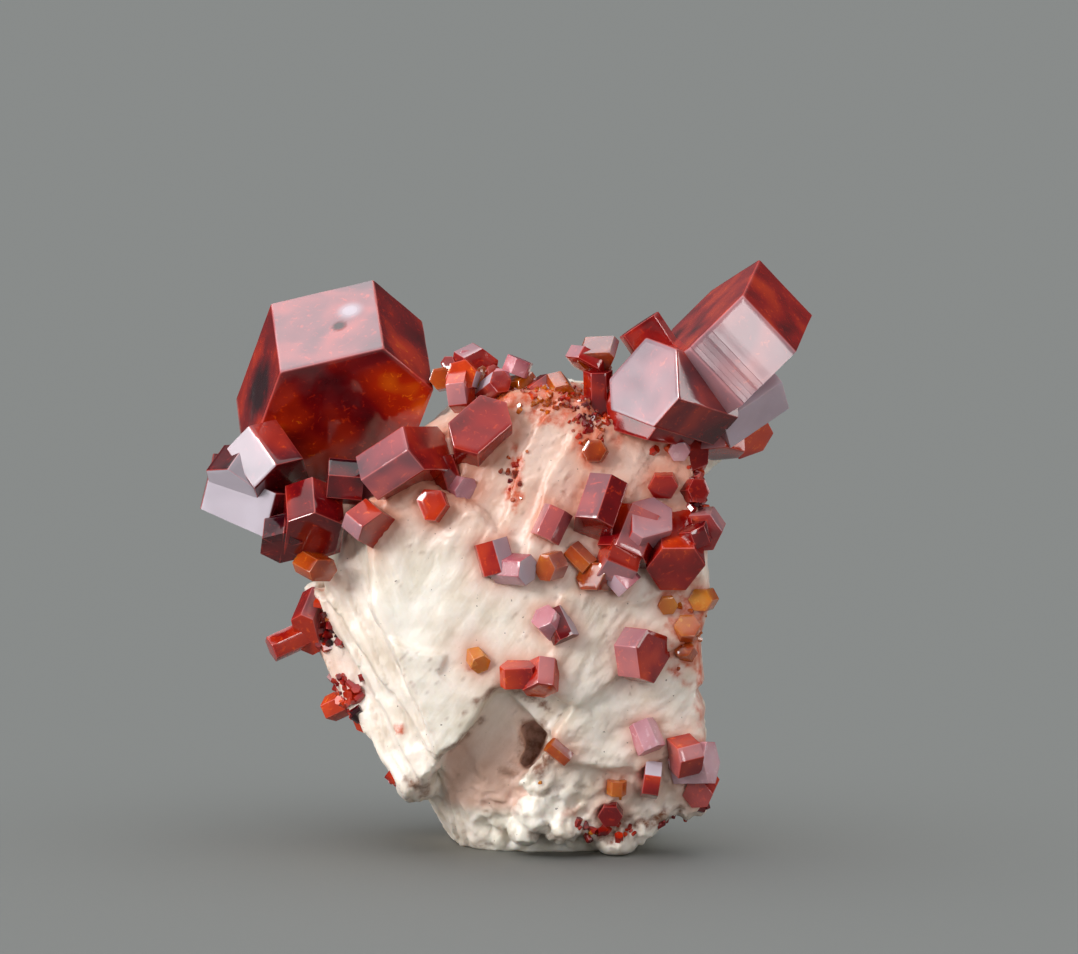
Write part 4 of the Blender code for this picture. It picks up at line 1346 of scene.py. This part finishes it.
    def relief(self, points: np.ndarray) -> np.ndarray:
        """How far each point stands out, in millimetres.

        Args:
            points: places in millimetres.

        Returns:
            One height for each point.
        """
        x, z = points[:, 0], points[:, 2]
        flank = self.flank(points)
        upper = smooth(z, 20.5, 24.5) * (1 - flank)
        right = smooth(x, 1.5, 4.5) * (1 - smooth(z, 19.0, 22.0))
        foot = (1 - smooth(z, 5.5, 8.0)) * smooth(x, -3.5, -1.0)
        behind = smooth(points[:, 1], -2.0, 2.0)
        front = 1 - behind
        broad, small = self.uneven
        height = broad * soft_noise(points, 4.2, 1.7, 2) + small * soft_noise(points, 0.9, 4.4)

        step, line = self.plate_relief
        grooves = streaks(points, self.plate_way, 6.0, 1.1, 5.3)
        plates = self.flank_depth(points) / self.plate_pitch + 0.5 * grooves
        fine = streaks(points, self.plate_way, 5.0, 0.45, 8.1)
        height += flank * front * (step * ledges(plates) + line * fine)

        step, line = self.crease_relief
        creases = streaks(points, self.crease_way, 5.5, 1.5, 2.6, 2)
        height += upper * front * (step * ledges(1.5 * creases + 0.3 * x) + line * creases)

        step, line = self.ray_relief
        right_of, above = x - self.ray_centre[0], z - self.ray_centre[1]
        turned, reach = np.arctan2(above, right_of), np.hypot(above, right_of)
        rays = soft_noise(np.column_stack((turned * 5.0, reach / 7.0, z * 0.02)), 1.0, 6.4, 2)
        height += right * front * (1 - foot) * (step * ledges(1.3 * rays) + line * rays)

        lumps = np.abs(soft_noise(points, 1.5, 12.2))
        lumps = lumps + 0.5 * np.abs(soft_noise(points, 0.7, 3.9))
        height += foot * front * self.lump_relief * (0.55 - lumps)

        step, line = self.page_relief
        pages = streaks(points, self.page_way, 7.0, 1.3, 15.0, 2)
        height += behind * (step * ledges(1.6 * pages) + line * pages)
        return height * np.clip(z / 0.8, 0.0, 1.0)

    @staticmethod
    def flank_depth(points: np.ndarray) -> np.ndarray:
        """How far each point lies inside the left flank, across its edge-on plates."""
        return -0.92 * (points[:, 0] + 9.4) - 0.39 * (points[:, 2] - 19.0)

    def flank(self, points: np.ndarray) -> np.ndarray:
        """How much each point belongs to the left flank."""
        return smooth(self.flank_depth(points), -0.9, 0.5) * (1 - smooth(points[:, 2], 19, 22))

    def tints(self, points: np.ndarray, gap: np.ndarray) -> dict[str, np.ndarray]:
        """The stains on the block, and the painted light that the crystals throw onto it.

        Args:
            points: places in millimetres.
            gap: distances to the nearest crystal in millimetres.

        Returns:
            The share of each stain, and of the painted light, at each point.
        """
        x, z = points[:, 0], points[:, 2]
        front = 1 - smooth(points[:, 1], -3.0, 1.0)
        warmth = self.upper_tint * smooth(z, 22.0, 27.0) * front
        warmth += self.flank_tint * self.flank(points)
        # Painted light thrown back by the nearest crystal, with its red film, fading with the
        # distance.
        for strength, fade in (self.near_bounce_and_film, self.far_bounce_and_film):
            warmth += strength * np.exp(-gap / fade)
        found = {"warmth": np.clip(warmth, 0.0, 1.0)}
        for name, marks in (("brown", self.brown), ("rust", self.rust)):
            total = np.zeros(len(points))
            for middle, wide, high, lean, strength in marks:
                a, b = x - middle[0], z - middle[1]
                c, s = math.cos(math.radians(lean)), math.sin(math.radians(lean))
                away = np.hypot((a * c + b * s) / wide, (b * c - a * s) / high)
                away = away + 0.45 * soft_noise(points, 0.9, 2.2 + len(name), 2)
                total = np.maximum(total, strength * (1 - smooth(away, 0.55, 1.15)))
            found[name] = total * front
        hollow = smooth(points[:, 1], -8.2, -6.8) * (1 - smooth(np.abs(x + 0.6), 3.4, 4.4))
        hollow *= smooth(z, 2.6, 4.0) * (1 - smooth(z, 12.2, 13.2)) * front
        found["warmth"] = np.maximum(found["warmth"], self.hollow_tint * hollow)
        cracks = np.abs(streaks(points, self.crack_way, 4.0, 1.6, 31.0))
        lines = 1 - smooth(cracks, 0.010, 0.035)
        lines = lines * smooth(soft_noise(points, 4.0, 8.8), 0.1, 0.4)
        found["brown"] = np.maximum(found["brown"], 0.5 * lines * front)
        return found

    def build(self, look: Material, crystals: Sequence[Object]) -> Object:
        """Make the piece that stands for the barite node.

        Args:
            look: its material.
            crystals: the pieces whose light on the barite around them is painted, with their
                red films.

        Returns:
            The finished piece, riding on the root body.
        """
        mesh = self.joined()
        points, normals = mesh_points(mesh) / MM, mesh_points(mesh, "normal")
        points = points + normals * self.relief(points)[:, None]
        points[:, 2] = np.maximum(points[:, 2], 0.0)
        placed = to_frame(points)
        mesh.vertices.foreach_set("co", placed.astype(np.float32).ravel())
        mesh.polygons.foreach_set("use_smooth", [True] * len(mesh.polygons))
        mesh.update()
        gap = self.distance(placed, crystals)
        for name, values in self.tints(points, gap).items():
            add_attribute(mesh, name, values)
        mesh.materials.clear()
        mesh.materials.append(look)
        obj = new_object("barite_block", mesh)
        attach(obj, "root")
        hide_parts("barite_matrix")
        return obj

    def distance(self, points: np.ndarray, crystals: Sequence[Object]) -> np.ndarray:
        """How far each point is from the nearest crystal.

        Args:
            points: places in metres.
            crystals: the crystal pieces.

        Returns:
            Distances in millimetres, none above the reach of a crystal's painted light and red
            film.
        """
        corners: list[Vector] = []
        faces: list[list[int]] = []
        for obj in crystals:
            start = len(corners)
            corners += [v.co for v in obj.data.vertices]
            faces += [[start + i for i in p.vertices] for p in obj.data.polygons]
        tree = BVHTree.FromPolygons(corners, faces)
        found = []
        for point in points.tolist():
            gap = tree.find_nearest(point, self.bounce_and_film_reach * MM)[3]
            found.append(self.bounce_and_film_reach if gap is None else gap / MM)
        return np.array(found)


# ---------------------------------------------------------------------------- grains


@dataclass(frozen=True)
class Druse:
    """A dusting of tiny vanadinite prisms on the barite, too small to be solids.

    Each patch is the middle of a rounded region and its half widths in millimetres, with
    its share of the full density.
    """

    name: str
    tone: Tone
    patches: tuple[tuple[Point3, Point3, float], ...]
    density: float = 2.6        # prisms per square millimetre
    size: Point2 = (0.16, 0.42)  # across a prism, in millimetres
    # glow: painted inner light in the body colour of the prisms
    glow: float = 0.5
    seed: int = 1
    stoutness: float = 1.2      # length of a prism for its width
    lean: float = 1.2           # most that it leans each way, in radians

    def coverage(self, points: np.ndarray) -> np.ndarray:
        """The share of the full density at each point."""
        total = np.zeros(len(points))
        for middle, reach, strength in self.patches:
            away = np.linalg.norm((points - np.array(middle)) / np.array(reach), axis=1)
            away = away + 0.35 * soft_noise(points, 1.1, 3.0 * self.seed, 2)
            total = np.maximum(total, strength * (1 - smooth(away, 0.6, 1.1)))
        return total

    def tree(self) -> NodeTree:
        """The node group that scatters the prisms over a surface."""
        tree = bpy.data.node_groups.new(f"{self.name}_scatter", "GeometryNodeTree")
        face = tree.interface
        face.new_socket("Geometry", in_out="OUTPUT", socket_type="NodeSocketGeometry")
        face.new_socket("Geometry", in_out="INPUT", socket_type="NodeSocketGeometry")
        for label in ("Density", "Smallest", "Largest"):
            face.new_socket(label, in_out="INPUT", socket_type="NodeSocketFloat")
        face.new_socket("Material", in_out="INPUT", socket_type="NodeSocketMaterial")
        source = add_node(tree, "NodeGroupInput").outputs
        cover = add_node(
            tree, "GeometryNodeInputNamedAttribute", {"data_type": "FLOAT"},
            {"Name": "cover"},
        ).outputs[0]
        dense = calculate(tree, "MULTIPLY", cover, source["Density"])
        spread = add_node(
            tree, "GeometryNodeDistributePointsOnFaces", {"distribute_method": "RANDOM"},
            {"Mesh": source["Geometry"], "Density": dense, "Seed": self.seed},
        )
        prism = add_node(
            tree, "GeometryNodeMeshCylinder", {"fill_type": "NGON"},
            {"Vertices": 6, "Radius": 0.5, "Depth": self.stoutness},
        ).outputs["Mesh"]
        lean = add_node(
            tree, "FunctionNodeRandomValue", {"data_type": "FLOAT_VECTOR"},
            {0: (-self.lean, -self.lean, 0.0), 1: (self.lean, self.lean, 6.28),
             "Seed": self.seed + 1},
        ).outputs[0]
        turned = add_node(
            tree, "FunctionNodeRotateRotation", {"rotation_space": "LOCAL"},
            {"Rotation": spread.outputs["Rotation"],
             "Rotate By": add_node(tree, "FunctionNodeEulerToRotation", None,
                                   {0: lean}).outputs[0]},
        ).outputs[0]
        size = add_node(
            tree, "FunctionNodeRandomValue", {"data_type": "FLOAT"},
            {2: source["Smallest"], 3: source["Largest"], "Seed": self.seed + 2},
        ).outputs[1]
        placed = add_node(
            tree, "GeometryNodeInstanceOnPoints", None,
            {"Points": spread.outputs["Points"], "Instance": prism, "Rotation": turned,
             "Scale": size},
        ).outputs[0]
        real = add_node(tree, "GeometryNodeRealizeInstances", None, {0: placed}).outputs[0]
        dressed = add_node(
            tree, "GeometryNodeSetMaterial", None,
            {"Geometry": real, "Material": source["Material"]},
        ).outputs[0]
        add_node(tree, "NodeGroupOutput", None, {"Geometry": dressed})
        return tree

    def build(self, block: Object, look: Material) -> Object:
        """Scatter the prisms and keep them as a plain mesh.

        Args:
            block: the barite that carries them.
            look: their material.

        Returns:
            The finished piece, riding on the root body.
        """
        ground = new_object("ground", block.data.copy())
        points = mesh_points(ground.data) / MM + np.array((MIDDLE[0], MIDDLE[1], 0.0))
        add_attribute(ground.data, "cover", self.coverage(points))
        modifier = ground.modifiers.new("scatter", "NODES")
        modifier.node_group = self.tree()
        values = {
            "Density": self.density / MM**2, "Smallest": self.size[0] * MM,
            "Largest": self.size[1] * MM, "Material": look,
        }
        for item in modifier.node_group.interface.items_tree:
            if item.in_out == "INPUT" and item.name in values:
                modifier[item.identifier] = values[item.name]
        mesh = flatten(ground)
        remove_object(ground)
        places = mesh_points(mesh) / MM
        # Painted inner light of the grains, varying from place to place.
        add_attribute(mesh, "glow", self.glow + 0.25 * soft_noise(places, 1.6, 5.0))
        for name in ("frost_and_sheen", "edge"):
            add_attribute(mesh, name, np.zeros(len(places)))
        obj = new_object(f"{self.name}_grains", mesh)
        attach(obj, "root")
        return obj


DRUSES = (
    Druse("crest_orange", Tone.ORANGE, (
        ((2.6, -4.6, 34.0), (3.0, 3.4, 1.6), 0.8), ((5.9, -6.2, 32.4), (1.6, 2.6, 2.2), 1.0),
        ((0.7, -7.6, 28.0), (0.8, 2.0, 2.6), 0.3),
    ), seed=3, density=4.5, glow=0.3),
    Druse("crest_red", Tone.RED, (
        ((4.2, -4.8, 34.2), (2.6, 3.4, 1.2), 0.8), ((6.2, -6.2, 32.2), (1.6, 2.6, 2.4), 1.0),
        ((0.7, -7.6, 28.0), (0.7, 2.0, 2.6), 0.35),
    ), seed=4, density=4.0),
    Druse("rim_red", Tone.RED, (
        ((-14.2, -2.6, 16.2), (1.8, 2.0, 2.2), 0.8),
        ((-11.6, -2.4, 11.2), (1.3, 2.0, 2.6), 0.9),
        ((-7.4, -3.6, 5.6), (1.4, 2.0, 1.0), 0.8), ((13.6, -4.4, 27.2), (1.6, 3.0, 2.0), 0.8),
        ((11.6, -6.4, 29.6), (1.6, 2.0, 1.2), 0.6),
    ), size=(0.25, 0.85), density=3.4, seed=5),
    Druse("rim_maroon", Tone.MAROON, (
        ((-14.0, -2.6, 16.0), (1.6, 2.0, 2.2), 0.6),
        ((-11.4, -2.4, 11.0), (1.2, 2.0, 2.6), 0.6),
        ((13.6, -4.6, 27.0), (1.6, 3.0, 2.0), 0.8), ((7.6, -6.6, 2.0), (2.2, 1.6, 0.9), 0.7),
        ((11.4, -5.6, 2.6), (2.4, 1.8, 0.8), 0.5), ((14.2, -5.6, 3.8), (1.2, 1.8, 0.8), 0.7),
    ), size=(0.2, 0.7), density=3.4, seed=6, glow=0.35),
    Druse("amber_edge", Tone.ORANGE, (
        ((13.4, -7.6, 16.8), (1.2, 2.0, 2.8), 0.35), ((6.0, -7.0, 1.9), (0.8, 1.6, 0.8), 0.5),
        ((-13.8, -3.4, 17.2), (0.9, 1.4, 0.9), 0.4), ((8.2, -7.6, 4.2), (0.6, 1.2, 1.2), 0.4),
        ((-7.6, -5.0, 9.4), (0.4, 1.4, 0.4), 0.8), ((2.6, -7.6, 6.4), (0.9, 1.4, 0.5), 0.4),
    ), size=(0.16, 0.45), seed=7, glow=0.6),
)


# ---------------------------------------------------------------------------- studio


@dataclass(frozen=True)
class Softbox:
    """A large flat lamp, given by its direction from the specimen."""

    name: str
    bearing: float
    rise: float
    wide: float
    high: float
    power: float
    away: float = 0.42

    def build(self, target: Vector, unlit: Collection) -> Object:
        """Add the lamp, turned to the specimen and flagged off the floor."""
        data = bpy.data.lights.new(self.name, "AREA")
        data.shape = "RECTANGLE"
        data.size, data.size_y = self.wide, self.high
        data.energy = self.power
        lamp = new_object(self.name, data)
        way = direction(self.bearing, self.rise)
        lamp.location = target + way * self.away
        lamp.rotation_euler = way.to_track_quat("Z", "Y").to_euler()
        lamp.light_linking.receiver_collection = unlit
        return lamp


@dataclass(frozen=True)
class Studio:
    """The floor, the lamps and the camera."""

    target: Point3 = (2.36, -0.02, 27.3)
    camera: Point3 = (2.36, -447.55, 74.34)
    tilt: float = 84.0
    lens: float = 203.08
    sensor: float = 36.0
    clip: Point2 = (0.01, 20.0)
    floor_half: float = 4.0
    air_colour: str = "#eceef0"
    air: float = 0.10           # light from around the horizon
    dome: float = 1.35          # light from overhead
    dome_edge: Point2 = (0.40, 0.92)  # heights between which it grows from one to the other
    boxes: tuple[Softbox, ...] = (
        Softbox("left_softbox", -166, 0, 0.34, 0.30, 1.25),
        Softbox("top_softbox", 124, 64, 0.30, 0.30, 0.36),
        Softbox("left_front_key", -142, 27, 0.15, 0.15, 1.45),
        Softbox("right_front_strip", -66, 4, 0.08, 0.34, 0.6),
        Softbox("right_softbox", 6, 6, 0.16, 0.34, 0.6),
    )

    def add_floor(self) -> Object:
        """Lay the board that the specimen stands on."""
        bm = bmesh.new()
        bmesh.ops.create_grid(bm, x_segments=1, y_segments=1, size=self.floor_half)
        mesh = finished_mesh(bm, "studio_floor")
        mesh.materials.append(FloorFinish().make())
        floor = new_object("studio_floor", mesh)
        return floor

    def add_air(self) -> None:
        """Surround the specimen with even light that grows stronger overhead."""
        world = bpy.data.worlds.new("studio_air")
        world.use_nodes = True
        tree = world.node_tree
        way = add_node(tree, "ShaderNodeTexCoord").outputs["Generated"]
        height = add_node(tree, "ShaderNodeSeparateXYZ", None, {0: way}).outputs["Z"]
        light = remap(tree, height, *self.dome_edge, self.air, self.dome, eased=True)
        back = tree.nodes["Background"]
        back.inputs["Color"].default_value = linear(self.air_colour)
        tree.links.new(light, back.inputs["Strength"])
        bpy.context.scene.world = world

    def add_camera(self) -> None:
        """Set the camera up before the specimen."""
        data = bpy.data.cameras.new("camera")
        data.lens, data.sensor_width = self.lens, self.sensor
        data.clip_start, data.clip_end = self.clip
        camera = new_object("camera", data)
        camera.location = Vector(self.camera) * MM
        camera.rotation_euler = (math.radians(self.tilt), 0.0, 0.0)
        bpy.context.scene.camera = camera

    def build(self) -> None:
        """Add the floor, the lamps, the surrounding light and the camera."""
        unlit = bpy.data.collections.new("kept_out_of_the_lamps")
        unlit.objects.link(self.add_floor())
        unlit.collection_objects[0].light_linking.link_state = "EXCLUDE"
        for box in self.boxes:
            box.build(Vector(self.target) * MM, unlit)
        self.add_air()
        bpy.context.scene.view_settings.view_transform = "Standard"
        self.add_camera()


def main() -> None:
    """Build the specimen and its studio."""
    logging.basicConfig(level=logging.INFO, format="%(message)s")
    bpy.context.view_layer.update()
    looks = {tone: finish.make() for tone, finish in VANADINITE.items()}
    crust = CrystalPiece("top_crust", O, CRUST + CrustLine().grains())
    crystals = []
    for piece in PIECES + (crust,):
        obj = piece.build(looks)
        crystals.append(obj)
        LOG.info("%s: %d faces", obj.name, len(obj.data.polygons))
    block = BariteBlock().build(BariteFinish().make(), crystals)
    LOG.info("%s: %d faces", block.name, len(block.data.polygons))
    for druse in DRUSES:
        grains = druse.build(block, looks[druse.tone])
        LOG.info("%s: %d faces", grains.name, len(grains.data.polygons))
    Studio().build()


if __name__ == "__main__":
    main()
